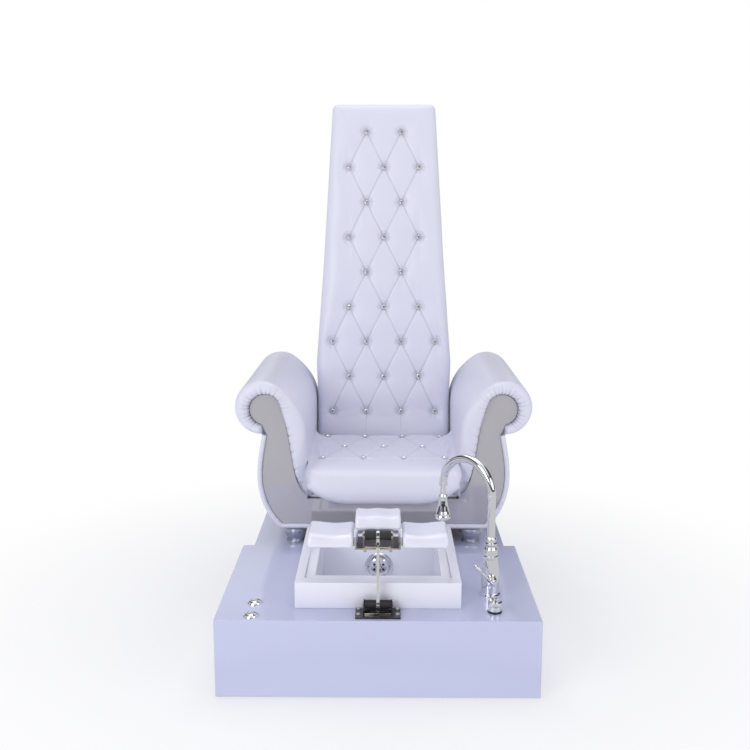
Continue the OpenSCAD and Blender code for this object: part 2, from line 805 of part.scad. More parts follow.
module footrest_post() {
    color("gainsboro") difference() {
        union() {
            block(-post_half, post_half, hinge_y - post_dy, hinge_y + post_dy, hinge_z, head_z);
            rod_x(-post_half, post_half, hinge_y, hinge_z, 13);
            rod_x(-post_half, post_half, hinge_y, head_z, 12.5);
        }
        for (z = [hinge_z, head_z]) rod_x(-6, 6, hinge_y, z, pin_r + run);
    }
}

module head_bracket() {
    color("silver") difference() {
        union() {
            block(-62.5, 62.5, tray_y0, tray_y0 + tray_len, tray_z - 4, tray_z);
            block(-185, 185, hinge_y + 16, hinge_y + 76, wing_z - 5, wing_z);
            for (s = [-1, 1]) translate([s * (cheek_x + cheek_t / 2), 0, 0]) {
                block(-cheek_t / 2, cheek_t / 2, hinge_y - 12, hinge_y + 12, tray_z - 1, head_z);
                rod_x(-cheek_t / 2, cheek_t / 2, hinge_y, head_z, 12);
            }
            for (s = [-1, 1]) rod_z(s * 35, tray_y0 + 8, tray_z - 12, tray_z - 3, 4);
        }
        rod_x(-50, 50, hinge_y, head_z, pin_r + run);
        block(-post_half - 1.5, post_half + 1.5, tray_y0 - 1, hinge_y + 34, tray_z - 8, tray_z + 1);
    }
}

module pad_riser() {
    color("white") difference() {
        block(-61, 61, hinge_y + 18, hinge_y + 98, tray_z + 0.2, tray_z + 41);
        block(-56, 56, hinge_y + 13, hinge_y + 93, tray_z - 1, tray_z + 36);
    }
}

module centre_pad() {
    z = tray_z + 41.5;
    color("white") upright_x(-pad_w / 2, pad_w / 2) polygon([[hinge_y + 8, z], [hinge_y + 108, z],
        [hinge_y + 108, z + 24], [hinge_y + 104, z + 32], [hinge_y + 92, z + 38], [hinge_y + 30, z + 38],
        [hinge_y + 14, z + 32], [hinge_y + 8, z + 20]]);
}

module side_pads() {
    color("white") for (x = [-side_pad_x - pad_w, side_pad_x])
        upright_x(x, x + pad_w) polygon([[hinge_y - 20, wing_z + 0.3], [hinge_y + 127, wing_z + 0.3],
            [hinge_y + 127, wing_z + 20], [hinge_y + 120, wing_z + 30], [hinge_y + 105, wing_z + 35],
            [hinge_y + 4, wing_z + 35], [hinge_y - 14, wing_z + 28], [hinge_y - 20, wing_z + 16]]);
}

// ---------- Chair ----------

module chair_feet() {
    z = rear_h;
    color("silver") at_chair() for (x = [-feet_x, feet_x]) for (y = feet_ys) translate([x, y, 0])
        rotate_extrude() polygon([[0, z], [31, z], [32, z + 3], [31, z + 7], [28, z + 11], [28.5, z + 15],
            [33, z + 21], [37, z + 28], [39, z + 36], [39, z + 43], [37.5, z + 49], [34, z + 54],
            [33, z + 57], [4, z + 57], [4, z + 70], [0, z + 70]]);
}

module seat_frame() {
    z0 = chair_base + 0.2;
    y0 = board_back + 2;
    y1 = 600;
    color("burlywood") at_chair() difference() {
        union() {
            block(-340, 340, y0, arm_y1 - 6, z0, z0 + base_t);
            block(-248, 248, y0, y1, z0 + 1, seat_bottom - 1);
        }
        block(-226, 226, y0 + 22, y1 - 22, z0 + base_t, seat_bottom - 13);
        for (x = [-120, 120]) rod_z(x, 340, z0 - 1, z0 + base_t + 1, 60);
        for (x = [-feet_x, feet_x]) for (y = feet_ys) rod_z(x, y, z0 - 1, z0 + 14, 4 + run);
    }
}

function mirror_x(points) = [for (p = points) [-p[0], p[1]]];

// Line where the board meets the padded strip, from under the roll to the foot of the board
function inner_edge(g) = concat([for (p = side_curve(lyre, curve_n, -piping_w + g))
    if (p[1] > chair_base + piping_w + 6) p], [[roll_x - 62, chair_base + piping_w - g]]);

// One side of the board from its foot up, over its head and down its neck, grown by g at its edges
function board_side(g) = concat(flip(inner_edge(g)),
    [for (a = [-75 : 15 : 165]) board_head + (board_head_r + g) * [cos(a), sin(a)]],
    side_curve(neck, curve_n, -g), [[neck[3][0], seat_bottom - 13]]);

function both_sides(side) = concat(side, mirror_x(flip(side)));

module front_board() {
    color([0.66, 0.65, 0.7]) at_chair() upright(board_y, board_back) polygon(both_sides(board_side(-0.3)));
}

// One side of the padded strip that runs down the outer edge and along the foot of the board
function strip_outer(g) = concat(side_curve(lyre, curve_n, g), [[roll_x - 60, chair_base - g]]);

module strip_outline(g) {
    polygon(concat(strip_outer(g), mirror_x(flip(strip_outer(g))), mirror_x(inner_edge(-g)),
        flip(inner_edge(-g))));
}

module board_piping() {
    color("white") at_chair() upright(board_y - 9, board_back) strip_outline(0);
}

// Section of one arm, on the +X side
module arm_section() {
    translate([roll_x, roll_z]) circle(r = roll_r);
    polygon(concat([[roll_x, roll_z]], curve(shoulder, curve_n), [[arm_inner, base_top + 0.5]],
        [[roll_x - 42, base_top + 0.5]], flip([for (p = curve(lyre, curve_n)) if (p[1] > base_top + 4) p])));
}

module arm_pads() {
    color("white") at_chair() for (s = [0, 1]) mirror([s, 0, 0]) difference() {
        upright(arm_y0, arm_y1) arm_section();
        upright(arm_y0 - 1, board_back + 0.5) polygon(both_sides(board_side(0.3)));
        upright(arm_y0 - 1, board_back + 0.5) for (dz = [0, 0.4]) translate([0, dz]) strip_outline(0.4);
        block(309, 328, board_back + 40, arm_y1 - 39, base_top - 1, 641);
    }
}

module arm_cores() {
    color("burlywood") at_chair() for (s = [0, 1]) mirror([s, 0, 0])
        block(309.5, 327.5, board_back + 41, arm_y1 - 40, base_top, 640);
}

module seat_cushion() {
    color("white") at_chair() difference() {
        union() {
            upright(44, 548) polygon([[-250, seat_bottom], [250, seat_bottom], [250, seat_z - 14],
                [238, seat_z], [-238, seat_z], [-250, seat_z - 14]]);
            upright_x(-258, 258) polygon([[44, 356], [30, 358], [20, 372], [16, 400], [17, 440],
                [24, 466], [36, 480], [44, seat_z]]);
            block(-250, 250, 43, 70, 357, seat_bottom + 1);
        }
        for (p = seat_tufts) rod_z(p[0], p[1], seat_z - seat_button_base - 2, seat_z + 1, tuft_pocket_r);
    }
}

// A crystal button on a plated base, standing along +Z
module crystal() {
    rotate_extrude(convexity = 4) polygon([[0, 0], [9.5, 0], [9.5, 2.5], [8.2, 3.2], [8.2, 4.4], [5, 7.5],
        [0, 7.5]]);
}

module seat_buttons() {
    color("lightblue") at_chair() for (p = seat_tufts)
        translate([p[0], p[1], seat_z - seat_button_base]) crystal();
}

module back_cushion() {
    color("white") at_back() difference() {
        upright(0, cushion_t + gap + back_frame_t) polygon(back_outline(0));
        upright(cushion_t, cushion_t + back_frame_t + 1) polygon(frame_outline(gap));
        for (p = back_tufts) rod_y(p[0], -1, 16, p[1], tuft_pocket_r);
    }
}

module back_buttons() {
    color("lightblue") at_back() for (p = back_tufts)
        translate([p[0], button_base, p[1]]) rotate([90, 0, 0]) crystal();
}

module back_frame() {
    y = cushion_t + gap;
    color("burlywood") at_back() difference() {
        upright(y, y + back_frame_t) polygon(frame_outline(0));
        for (z = [-120, 160, 440, 720, 1000]) block(-130, 130, y - 1, y + back_frame_t + 1, z, z + 200);
    }
}

module back_panel() {
    y = cushion_t + back_frame_t + 2 * gap;
    color("white") at_back() upright(y, y + 8) polygon(panel_outline());
}

front_plinth_shell();
rear_plinth_shell();
base_frame();
levelling_feet();
service_panel();
service_screws();
foot_basin();
basin_seal();
jet_cover();
jet_housing();
jet_impeller();
jet_motor();
drain_strainer();
drain_plug();
drain_nut();
drain_pipe();
tap_body();
tap_nut();
tap_spout();
handle_hub();
handle_lever();
spray_head();
spray_button();
spray_face();
water_inlets();
supply_hoses();
valve_body();
valve_knob();
air_button_bodies();
front_air_button();
rear_air_button();
air_tubes();
control_box();
power_inlet();
wiring();
footrest_base();
footrest_screws();
base_hinge_pin();
base_hinge_bushes();
base_stop_plate();
footrest_post();
head_hinge_pin();
head_hinge_bushes();
head_stop_plate();
head_bracket();
pad_riser();
centre_pad();
side_pads();
chair_feet();
seat_frame();
front_board();
board_piping();
arm_pads();
arm_cores();
seat_cushion();
seat_buttons();
back_frame();
back_cushion();
back_buttons();
back_panel();
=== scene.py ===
"""Looks of the pedicure spa chair: soft goods, materials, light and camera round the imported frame."""

import math

import bmesh
import bpy
import numpy as np
from mathutils import Matrix, Vector


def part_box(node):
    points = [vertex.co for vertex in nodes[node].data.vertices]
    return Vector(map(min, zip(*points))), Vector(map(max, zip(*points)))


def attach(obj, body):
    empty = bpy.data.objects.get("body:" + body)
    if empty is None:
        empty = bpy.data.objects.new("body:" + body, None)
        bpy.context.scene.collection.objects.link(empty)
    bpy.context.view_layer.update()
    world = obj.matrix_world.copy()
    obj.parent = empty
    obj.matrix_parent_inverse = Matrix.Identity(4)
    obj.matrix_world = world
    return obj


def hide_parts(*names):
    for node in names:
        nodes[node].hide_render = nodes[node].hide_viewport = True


MM = 0.001
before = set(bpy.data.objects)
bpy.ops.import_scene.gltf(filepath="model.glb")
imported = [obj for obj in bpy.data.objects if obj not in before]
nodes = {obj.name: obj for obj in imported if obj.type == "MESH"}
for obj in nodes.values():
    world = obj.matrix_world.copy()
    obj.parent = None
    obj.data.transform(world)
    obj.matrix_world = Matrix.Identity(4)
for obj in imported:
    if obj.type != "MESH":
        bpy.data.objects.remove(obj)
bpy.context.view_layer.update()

# Chair places, from the CAD boxes
arms_lo, arms_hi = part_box("arm_pads")
board_lo, board_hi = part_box("front_board")
piping_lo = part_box("board_piping")[0]
seat_lo, seat_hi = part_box("seat_cushion")
CHAIR_X = (arms_lo.x + arms_hi.x) / 2
BOARD_Y = board_lo.y
BOARD_BACK = board_hi.y
ARM_FRONT = arms_lo.y
ARM_REAR = arms_hi.y
ARM_FOOT = arms_lo.z
ROLL_R = 92 * MM
ROLL = Vector((arms_hi.x - CHAIR_X - ROLL_R, arms_hi.z - ROLL_R))
BASE_Z = piping_lo.z
ARM_INNER = ROLL.x - 148 * MM
PIPING_W = 17 * MM
BOARD_HEAD = ROLL + Vector((-10, -8)) * MM
BOARD_HEAD_R = 52 * MM
NECK_FOOT = Vector((ROLL.x - 147 * MM, ROLL.y - 299 * MM))

# The backrest's own frame: X across, Y into the back, Z up along it
BACK_LEAN = math.radians(8.5)
BACK_ORIGIN = Vector((CHAIR_X, seat_hi.y + 18 * MM, seat_hi.z - 6 * MM))
BACK_DEPTH = 117.5 * MM
BACK_TOP = 1250 * MM
BACK_FOOT = -78 * MM
PANEL_FOOT = -172
# Half width of the back at heights along it, in mm
BACK_HALF = [(-78, 249.5), (0, 249.5), (120, 250.5), (270, 257), (660, 229), (1250, 195)]
BACK = Matrix.Translation(BACK_ORIGIN) @ Matrix.Rotation(-BACK_LEAN, 4, "X")
SEAT = Matrix.Translation((CHAIR_X, 0, seat_hi.z)) @ Matrix.Rotation(-math.pi / 2, 4, "X")


# ---------- Materials ----------

def add(tree, kind, **values):
    """A shader node with its sockets set by name."""
    node = tree.nodes.new(kind)
    for key, value in values.items():
        node.inputs[key.replace("_", " ")].default_value = value
    return node


def noise(tree, where, scale, detail=3.0):
    node = add(tree, "ShaderNodeTexNoise", Scale=scale, Detail=detail)
    tree.links.new(where, node.inputs["Vector"])
    return node.outputs["Fac"]


def spread(tree, value, low, high):
    """Value between 0 and 1 mapped to low and high."""
    node = tree.nodes.new("ShaderNodeMapRange")
    node.inputs["From Min"].default_value = 0.25
    node.inputs["From Max"].default_value = 0.75
    node.inputs["To Min"].default_value = low
    node.inputs["To Max"].default_value = high
    tree.links.new(value, node.inputs["Value"])
    return node.outputs["Result"]


def tint(tree, factor, low, high):
    """Colour that runs from low to high with factor."""
    node = tree.nodes.new("ShaderNodeMix")
    node.data_type = "RGBA"
    node.inputs[6].default_value = (*low, 1)
    node.inputs[7].default_value = (*high, 1)
    tree.links.new(factor, node.inputs[0])
    return node.outputs[2]


def bump(tree, height, distance, under=None):
    node = add(tree, "ShaderNodeBump", Strength=1.0, Distance=distance)
    tree.links.new(height, node.inputs["Height"])
    if under is not None:
        tree.links.new(under, node.inputs["Normal"])
    return node.outputs["Normal"]


def finish_material(name, colour, rough, metal=0.0, patch=9.0, grain=400.0, grain_depth=0.02,
                    spread_by=0.08, stretch=(1, 1, 1), coat=0.0, shade=0.94):
    """A procedural finish: patchy colour and roughness over a fine grain."""
    mat = bpy.data.materials.new(name)
    mat.use_nodes = True
    tree = mat.node_tree
    shader = tree.nodes["Principled BSDF"]
    place = tree.nodes.new("ShaderNodeTexCoord").outputs["Object"]
    mapping = tree.nodes.new("ShaderNodeMapping")
    mapping.inputs["Scale"].default_value = stretch
    tree.links.new(place, mapping.inputs["Vector"])
    where = mapping.outputs["Vector"]
    patches = noise(tree, where, patch)
    fine = noise(tree, where, grain)
    dark = tuple(c * shade for c in colour)
    tree.links.new(tint(tree, patches, dark, colour), shader.inputs["Base Color"])
    tree.links.new(spread(tree, patches, max(rough - spread_by, 0.02), rough + spread_by),
                   shader.inputs["Roughness"])
    tree.links.new(bump(tree, fine, grain_depth * MM), shader.inputs["Normal"])
    shader.inputs["Metallic"].default_value = metal
    shader.inputs["Coat Weight"].default_value = coat
    shader.inputs["Coat Roughness"].default_value = 0.06
    return mat


def leather_material():
    """White coated leather: fine pebble grain, soft patches, and painted shade: a darker grey painted inside
    the creases.
    """
    mat = bpy.data.materials.new("white_leather")
    mat.use_nodes = True
    tree = mat.node_tree
    link = tree.links.new
    shader = tree.nodes["Principled BSDF"]
    place = tree.nodes.new("ShaderNodeTexCoord").outputs["Object"]
    patches = noise(tree, place, 7.0, 4.0)
    pebble = add(tree, "ShaderNodeTexVoronoi", Scale=520.0, Randomness=0.9)
    link(place, pebble.inputs["Vector"])
    slack = noise(tree, place, 38.0, 4.0)
    # Painted shade: a point attribute mixes the leather colour towards the grey below in folds, pleats, tucks
    # and round the bezels.
    crease_shade = tree.nodes.new("ShaderNodeAttribute")
    crease_shade.attribute_name = "crease_shade"
    body = tint(tree, patches, (0.70, 0.705, 0.82), (0.735, 0.74, 0.855))
    mix = tree.nodes.new("ShaderNodeMix")
    mix.data_type = "RGBA"
    mix.inputs[7].default_value = (0.33, 0.33, 0.40, 1)
    link(body, mix.inputs[6])
    link(crease_shade.outputs["Fac"], mix.inputs[0])
    link(mix.outputs[2], shader.inputs["Base Color"])
    link(spread(tree, patches, 0.36, 0.48), shader.inputs["Roughness"])
    soft = bump(tree, slack, 0.5 * MM)
    link(bump(tree, pebble.outputs["Distance"], 0.10 * MM, soft), shader.inputs["Normal"])
    shader.inputs["Coat Weight"].default_value = 0.12
    shader.inputs["Coat Roughness"].default_value = 0.3
    return mat


def crystal_material():
    """Foil-backed cut crystal: each facet's colour is painted bright or dark by its direction, a painted
    glint.
    """
    mat = finish_material("crystal", (0.88, 0.90, 0.96), 0.06, metal=0.9, grain=300, grain_depth=0.01,
                          spread_by=0.02)
    tree = mat.node_tree
    shape = tree.nodes.new("ShaderNodeNewGeometry")
    painted_glint = add(tree, "ShaderNodeTexWhiteNoise")
    snap = tree.nodes.new("ShaderNodeVectorMath")
    snap.operation = "SNAP"
    snap.inputs[1].default_value = (0.12, 0.12, 0.12)
    tree.links.new(shape.outputs["True Normal"], snap.inputs[0])
    tree.links.new(snap.outputs["Vector"], painted_glint.inputs["Vector"])
    # Painted glint: per-facet bright or dark base colour in place of the sparkle of light off the facets.
    shade = spread(tree, painted_glint.outputs["Value"], 0.45, 1.0)
    tree.links.new(tint(tree, shade, (0.05, 0.05, 0.07), (0.97, 0.98, 1.0)),
                   tree.nodes["Principled BSDF"].inputs["Base Color"])
    return mat


def make_materials():
    m = {}
    m["gloss_shell"] = finish_material("gloss_shell", (0.56, 0.59, 0.80), 0.2, grain=60, grain_depth=0.05,
                                       coat=0.5, shade=0.97, spread_by=0.05)
    m["basin_gloss"] = finish_material("basin_gloss", (0.86, 0.87, 0.96), 0.14, grain=50, grain_depth=0.05,
                                       coat=0.6, shade=0.97, spread_by=0.04)
    m["pad_gloss"] = finish_material("pad_gloss", (0.78, 0.79, 0.91), 0.13, grain=70, grain_depth=0.08,
                                     coat=0.7, shade=0.97, spread_by=0.04)
    m["sealant"] = finish_material("sealant", (0.72, 0.73, 0.78), 0.5, grain=200)
    m["timber"] = finish_material("timber", (0.55, 0.38, 0.22), 0.6, grain=90, grain_depth=0.3,
                                  stretch=(8, 1, 8), shade=0.6)
    m["dark_rubber"] = finish_material("dark_rubber", (0.02, 0.02, 0.022), 0.55, grain=900, grain_depth=0.05)
    m["steel"] = finish_material("steel", (0.62, 0.62, 0.64), 0.3, metal=1, grain=500, stretch=(1, 14, 1))
    # The brown in this steel's colour is painted reflection, standing in for the brownish dark the plates
    # mirror from the shaded pad riser and pad undersides.
    m["mirror_steel"] = finish_material("mirror_steel", (0.60, 0.55, 0.49), 0.07, metal=1, grain=300,
                                        grain_depth=0.01, spread_by=0.04)
    m["chrome"] = finish_material("chrome", (0.82, 0.83, 0.86), 0.05, metal=1, grain=120, grain_depth=0.01,
                                  spread_by=0.03)
    m["bezel_silver"] = finish_material("bezel_silver", (0.80, 0.81, 0.86), 0.3, metal=0.45, grain=400)
    m["brass"] = finish_material("brass", (0.75, 0.53, 0.25), 0.28, metal=1, grain=400)
    m["black_plastic"] = finish_material("black_plastic", (0.02, 0.02, 0.022), 0.35, grain=1500,
                                         grain_depth=0.05)
    m["grey_plastic"] = finish_material("grey_plastic", (0.28, 0.29, 0.32), 0.45, grain=1500,
                                        grain_depth=0.05)
    m["hose_braid"] = finish_material("hose_braid", (0.6, 0.6, 0.62), 0.35, metal=1, grain=900,
                                      grain_depth=0.5)
    m["tube_plastic"] = finish_material("tube_plastic", (0.8, 0.82, 0.84), 0.3, grain=200)
    m["cable_black"] = finish_material("cable_black", (0.02, 0.02, 0.02), 0.5, grain=500)
    m["black_steel"] = finish_material("black_steel", (0.022, 0.023, 0.027), 0.28, metal=0.3, grain=900,
                                       grain_depth=0.06, coat=0.3)
    m["silver_turned"] = finish_material("silver_turned", (0.56, 0.58, 0.67), 0.34, metal=0.85, grain=500,
                                         grain_depth=0.03, stretch=(1, 1, 9))
    m["board_lacquer"] = finish_material("board_lacquer", (0.56, 0.54, 0.58), 0.09, metal=0.5, patch=3.5,
                                         grain=45, grain_depth=0.06, coat=0.7, shade=0.9, spread_by=0.05)
    m["white_leather"] = leather_material()
    m["crystal"] = crystal_material()
    return m


materials = make_materials()


# ---------- Mesh helpers ----------

PRESSURE = 4.0
SIM_FRAMES = 20


def coords(obj):
    co = np.empty(len(obj.data.vertices) * 3)
    obj.data.vertices.foreach_get("co", co)
    return co.reshape(-1, 3)


def set_coords(obj, co):
    obj.data.vertices.foreach_set("co", np.asarray(co, np.float32).ravel())
    obj.data.update()


def new_piece(name, points, faces, slots, body="chair_base", stands_for=(), smooth=True):
    """A mesh piece in the row frame, riding on a body, with the finish of the record's slot."""
    mesh = bpy.data.meshes.new(name)
    mesh.from_pydata([tuple(p) for p in points], [], faces)
    mesh.update()
    obj = bpy.data.objects.new(name, mesh)
    bpy.context.scene.collection.objects.link(obj)
    for slot in slots:
        mesh.materials.append(materials[slot])
    mesh.shade_smooth() if smooth else mesh.shade_flat()
    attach(obj, body)
    if stands_for:
        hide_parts(*stands_for)
    return obj


def outward(obj):
    """Turns every face of a closed mesh outwards."""
    bm = bmesh.new()
    bm.from_mesh(obj.data)
    bmesh.ops.recalc_face_normals(bm, faces=bm.faces)
    bm.to_mesh(obj.data)
    bm.free()


def bake(obj, modifier):
    """Applies a modifier to its mesh."""
    graph = bpy.context.evaluated_depsgraph_get()
    mesh = bpy.data.meshes.new_from_object(obj.evaluated_get(graph))
    obj.modifiers.remove(modifier)
    obj.data = mesh


def subdivide(obj, levels):
    modifier = obj.modifiers.new("Round", "SUBSURF")
    modifier.levels = levels
    modifier.render_levels = levels
    bpy.context.view_layer.update()
    bake(obj, modifier)


def loft_faces(rings, around):
    """Quads between closed rings of equal length."""
    faces = []
    for k in range(rings - 1):
        for i in range(around):
            j = (i + 1) % around
            faces.append((k * around + i, k * around + j, (k + 1) * around + j, (k + 1) * around + i))
    return faces


def close_ends(obj):
    """Caps the open ends of a mesh and turns every face outwards."""
    bm = bmesh.new()
    bm.from_mesh(obj.data)
    caps = bmesh.ops.holes_fill(bm, edges=[e for e in bm.edges if e.is_boundary], sides=0)["faces"]
    for cap in caps:
        cap.smooth = False
        for edge in cap.edges:
            edge.smooth = False
    bmesh.ops.recalc_face_normals(bm, faces=bm.faces)
    bm.to_mesh(obj.data)
    bm.free()


def cubic(p, n):
    """Points on a cubic curve."""
    out = []
    for i in range(n + 1):
        t = i / n
        s = 1 - t
        out.append(p[0] * s ** 3 + p[1] * 3 * s * s * t + p[2] * 3 * s * t * t + p[3] * t ** 3)
    return out


def resample(points, n, closed=False):
    """Points at n even steps along a path; a closed path doesn't repeat its first point."""
    pts = np.array([tuple(p) for p in points], float)
    if closed:
        pts = np.vstack([pts, pts[:1]])
    seg = np.linalg.norm(np.diff(pts, axis=0), axis=1)
    at = np.concatenate([[0], np.cumsum(seg)])
    want = np.linspace(0, at[-1], n + 1 if closed else n)
    if closed:
        want = want[:-1]
    return np.stack([np.interp(want, at, pts[:, k]) for k in range(pts.shape[1])], axis=1)


def normals_2d(path, closed=True):
    """Normals to the left of a path."""
    if closed:
        d = np.roll(path, -1, 0) - np.roll(path, 1, 0)
    else:
        d = np.gradient(path, axis=0)
    d /= np.maximum(np.linalg.norm(d, axis=1), 1e-9)[:, None]
    return np.stack([-d[:, 1], d[:, 0]], axis=1)


def smooth_path(path, times, closed=True):
    for _ in range(times):
        near = (np.roll(path, 1, 0) + np.roll(path, -1, 0)) / 2
        if not closed:
            near[0], near[-1] = path[0], path[-1]
        path = path * 0.5 + near * 0.5
    return path


def ease(x):
    x = np.clip(x, 0, 1)
    return x * x * (3 - 2 * x)


def inflate(obj, pins, cap, share=1.0):
    """Cloth simulation under inner pressure: pinned points hold, moves are capped and scaled by share."""
    rest = coords(obj)
    group = obj.vertex_groups.new(name="pins")
    group.add([int(i) for i in pins], 1.0, "REPLACE")
    cloth = obj.modifiers.new("Cloth", "CLOTH")
    cloth.settings.quality = 5
    cloth.settings.mass = 0.25
    cloth.settings.tension_stiffness = 12
    cloth.settings.compression_stiffness = 12
    cloth.settings.shear_stiffness = 5
    cloth.settings.bending_stiffness = 0.4
    cloth.settings.vertex_group_mass = "pins"
    cloth.settings.use_pressure = True
    cloth.settings.uniform_pressure_force = PRESSURE
    cloth.settings.effector_weights.gravity = 0
    cloth.collision_settings.use_collision = False
    for step in range(1, SIM_FRAMES + 1):
        bpy.context.scene.frame_set(step)
    graph = bpy.context.evaluated_depsgraph_get()
    mesh = obj.evaluated_get(graph).to_mesh()
    moved = np.empty(len(mesh.vertices) * 3)
    mesh.vertices.foreach_get("co", moved)
    moved = moved.reshape(-1, 3)
    obj.modifiers.remove(cloth)
    obj.vertex_groups.clear()
    bpy.context.scene.frame_set(1)
    move = moved - rest
    length = np.maximum(np.linalg.norm(move, axis=1), 1e-9)
    scale = np.minimum(1, cap / length) * share
    set_coords(obj, rest + move * scale[:, None])


def islands(node):
    """Middles of the separate solids in a CAD node, in a fixed order from the bottom up."""
    bm = bmesh.new()
    bm.from_mesh(nodes[node].data)
    bmesh.ops.remove_doubles(bm, verts=bm.verts, dist=0.01 * MM)
    left = set(bm.verts)
    middles = []
    while left:
        stack = [left.pop()]
        low, high = stack[0].co.copy(), stack[0].co.copy()
        while stack:
            v = stack.pop()
            for k in range(3):
                low[k] = min(low[k], v.co[k])
                high[k] = max(high[k], v.co[k])
            for e in v.link_edges:
                w = e.other_vert(v)
                if w in left:
                    left.remove(w)
                    stack.append(w)
        middles.append((low + high) / 2)
    bm.free()
    return sorted(middles, key=lambda m: (round(m.z, 4), round(m.y, 4), round(m.x, 4)))


def local_points(matrix, points):
    inverse = np.array(matrix.inverted())
    return np.asarray(points) @ inverse[:3, :3].T + inverse[:3, 3]


def row_points(matrix, points):
    m = np.array(matrix)
    return np.asarray(points) @ m[:3, :3].T + m[:3, 3]


# ---------- Tufting ----------

FOLD_DEPTH = 2.6 * MM
PLEAT_DEPTH = 1.8 * MM
POCKET_R = 11 * MM
POCKET_SLOPE = 15 * MM
BEZEL_EDGE = 10.5 * MM


def grooves(points, lines):
    """Depth share 0 to 1 at points from grooves (start, end, half width, start depth, end depth)."""
    depth = np.zeros(len(points))
    for a, b, width, depth_a, depth_b in lines:
        along = b - a
        t = np.clip((points - a) @ along / (along @ along), 0, 1)
        away = np.linalg.norm(points - a - t[:, None] * along, axis=1)
        depth = np.maximum(depth, np.exp(-(away / width) ** 2) * (depth_a + (depth_b - depth_a) * t))
    return depth


def star_lines(spots, rng, count, reach, width, depth):
    """Short pleats that leave each button in uneven directions."""
    lines = []
    for spot in spots:
        for k in range(count):
            angle = 2 * math.pi * (k + rng.uniform(-0.3, 0.3)) / count
            way = np.array([math.cos(angle), math.sin(angle)])
            length = rng.uniform(0.55, 1.0) * reach
            start_depth = depth * rng.uniform(0.5, 1)
            lines.append((spot + way * 7 * MM, spot + way * length, width, start_depth, 0.0))
    return lines


def link_lines(spots, reach, width, depth):
    """Fold lines between neighbouring buttons in the rows above and below."""
    lines = []
    for i, a in enumerate(spots):
        for b in spots[i + 1:]:
            if np.linalg.norm(a - b) < reach and abs(a[1] - b[1]) > 20 * MM:
                mid = (a + b) / 2
                lines.append((a, mid, width, depth, depth * 0.62))
                lines.append((b, mid, width, depth, depth * 0.62))
    return lines


def press_tufts(obj, matrix, spots, folds, stars, seat, zone):
    """Presses folds, pleats and button pockets into the face of a cushion, and stores painted shade for the
    folds, pleats and bezel rims.
    """
    local = local_points(matrix, coords(obj))
    face = local[:, [0, 2]]
    reach = ease(1 - (local[:, 1] - zone) / (12 * MM))
    fold = grooves(face, folds) * reach
    star = grooves(face, stars) * reach
    local[:, 1] += fold * FOLD_DEPTH + star * PLEAT_DEPTH
    for spot in spots:
        away = np.linalg.norm(face - spot, axis=1)
        share = ease(1 - (away - POCKET_R) / POCKET_SLOPE) * reach
        local[:, 1] = np.where(local[:, 1] < seat, local[:, 1] + (seat - local[:, 1]) * share, local[:, 1])
    set_coords(obj, row_points(matrix, local))
    # Painted shade: darker colour along the folds and pleats and in a ring round each bezel edge, kept as a
    # point attribute for the leather.
    thin = grooves(face, [(a, b, w * 0.42, p, q) for a, b, w, p, q in folds]) * reach
    ring = np.zeros(len(face))
    for spot in spots:
        away = np.linalg.norm(face - spot, axis=1)
        ring = np.maximum(ring, np.exp(-((away - BEZEL_EDGE) / (2.5 * MM)) ** 2) * 0.7)
    painted_shade = np.clip(thin * 0.62 + star * 0.30 + ring, 0, 1)
    layer = obj.data.attributes.new("crease_shade", "FLOAT", "POINT")
    layer.data.foreach_set("value", painted_shade.astype(np.float32))


# ---------- Backrest ----------

def back_half_width(v):
    heights = [p[0] * MM for p in BACK_HALF]
    halves = [p[1] * MM for p in BACK_HALF]
    return float(np.interp(v, heights, halves))


def roll_edge(ex, ez, r):
    """Where a point of the flat cloth goes when the cloth rolls over a rounded edge and corner."""
    m = max(ex, ez)
    if m <= 0:
        return 0.0, 0.0, 0.0
    turn = math.pi / 4 * ez / ex if ex >= ez else math.pi / 2 - math.pi / 4 * ex / ez
    flat = r * math.sin(m / r)
    return flat * math.cos(turn), flat * math.sin(turn), r * (1 - math.cos(m / r))


def back_sheet(step, r, inset):
    """Closed grid of the back cushion in its own frame: face, rolled edges, sides and rear."""
    spill = r * (math.pi / 2 - 1)
    low, high = BACK_FOOT - spill + inset, BACK_TOP + spill - inset
    rows = round((high - low) / step)
    cols = 2 * round(250 * MM / step)
    points = []
    for j in range(rows + 1):
        b = low + (high - low) * j / rows
        half = back_half_width(min(max(b, BACK_FOOT), BACK_TOP)) - inset
        core = half - r
        for i in range(cols + 1):
            a = (2 * i / cols - 1) * (half + spill)
            ez = max(b - (BACK_TOP - inset - r), BACK_FOOT + inset + r - b, 0)
            x, z, depth = roll_edge(max(abs(a) - core, 0), ez, r)
            base_z = min(max(b, BACK_FOOT + inset + r), BACK_TOP - inset - r)
            up = z if b > 0 else -z
            points.append((math.copysign(min(abs(a), core) + x, a), inset + depth, base_z + up))
    wide = cols + 1
    faces = [(j * wide + i, j * wide + i + 1, (j + 1) * wide + i + 1, (j + 1) * wide + i)
             for j in range(rows) for i in range(cols)]
    edge = list(range(cols)) + [j * wide + cols for j in range(rows)]
    edge += [rows * wide + i for i in range(cols, 0, -1)] + [j * wide for j in range(rows, 0, -1)]
    face_count = len(points)
    last = edge
    for depth in (r + 12 * MM, 55 * MM, 85 * MM, BACK_DEPTH - 4 * MM, BACK_DEPTH):
        ring = [len(points) + k for k in range(len(edge))]
        points += [(points[k][0], depth, points[k][2]) for k in edge]
        n = len(edge)
        faces += [(last[k], ring[k], ring[(k + 1) % n], last[(k + 1) % n]) for k in range(n)]
        last = ring
    return np.array(points), faces, face_count, set(edge)


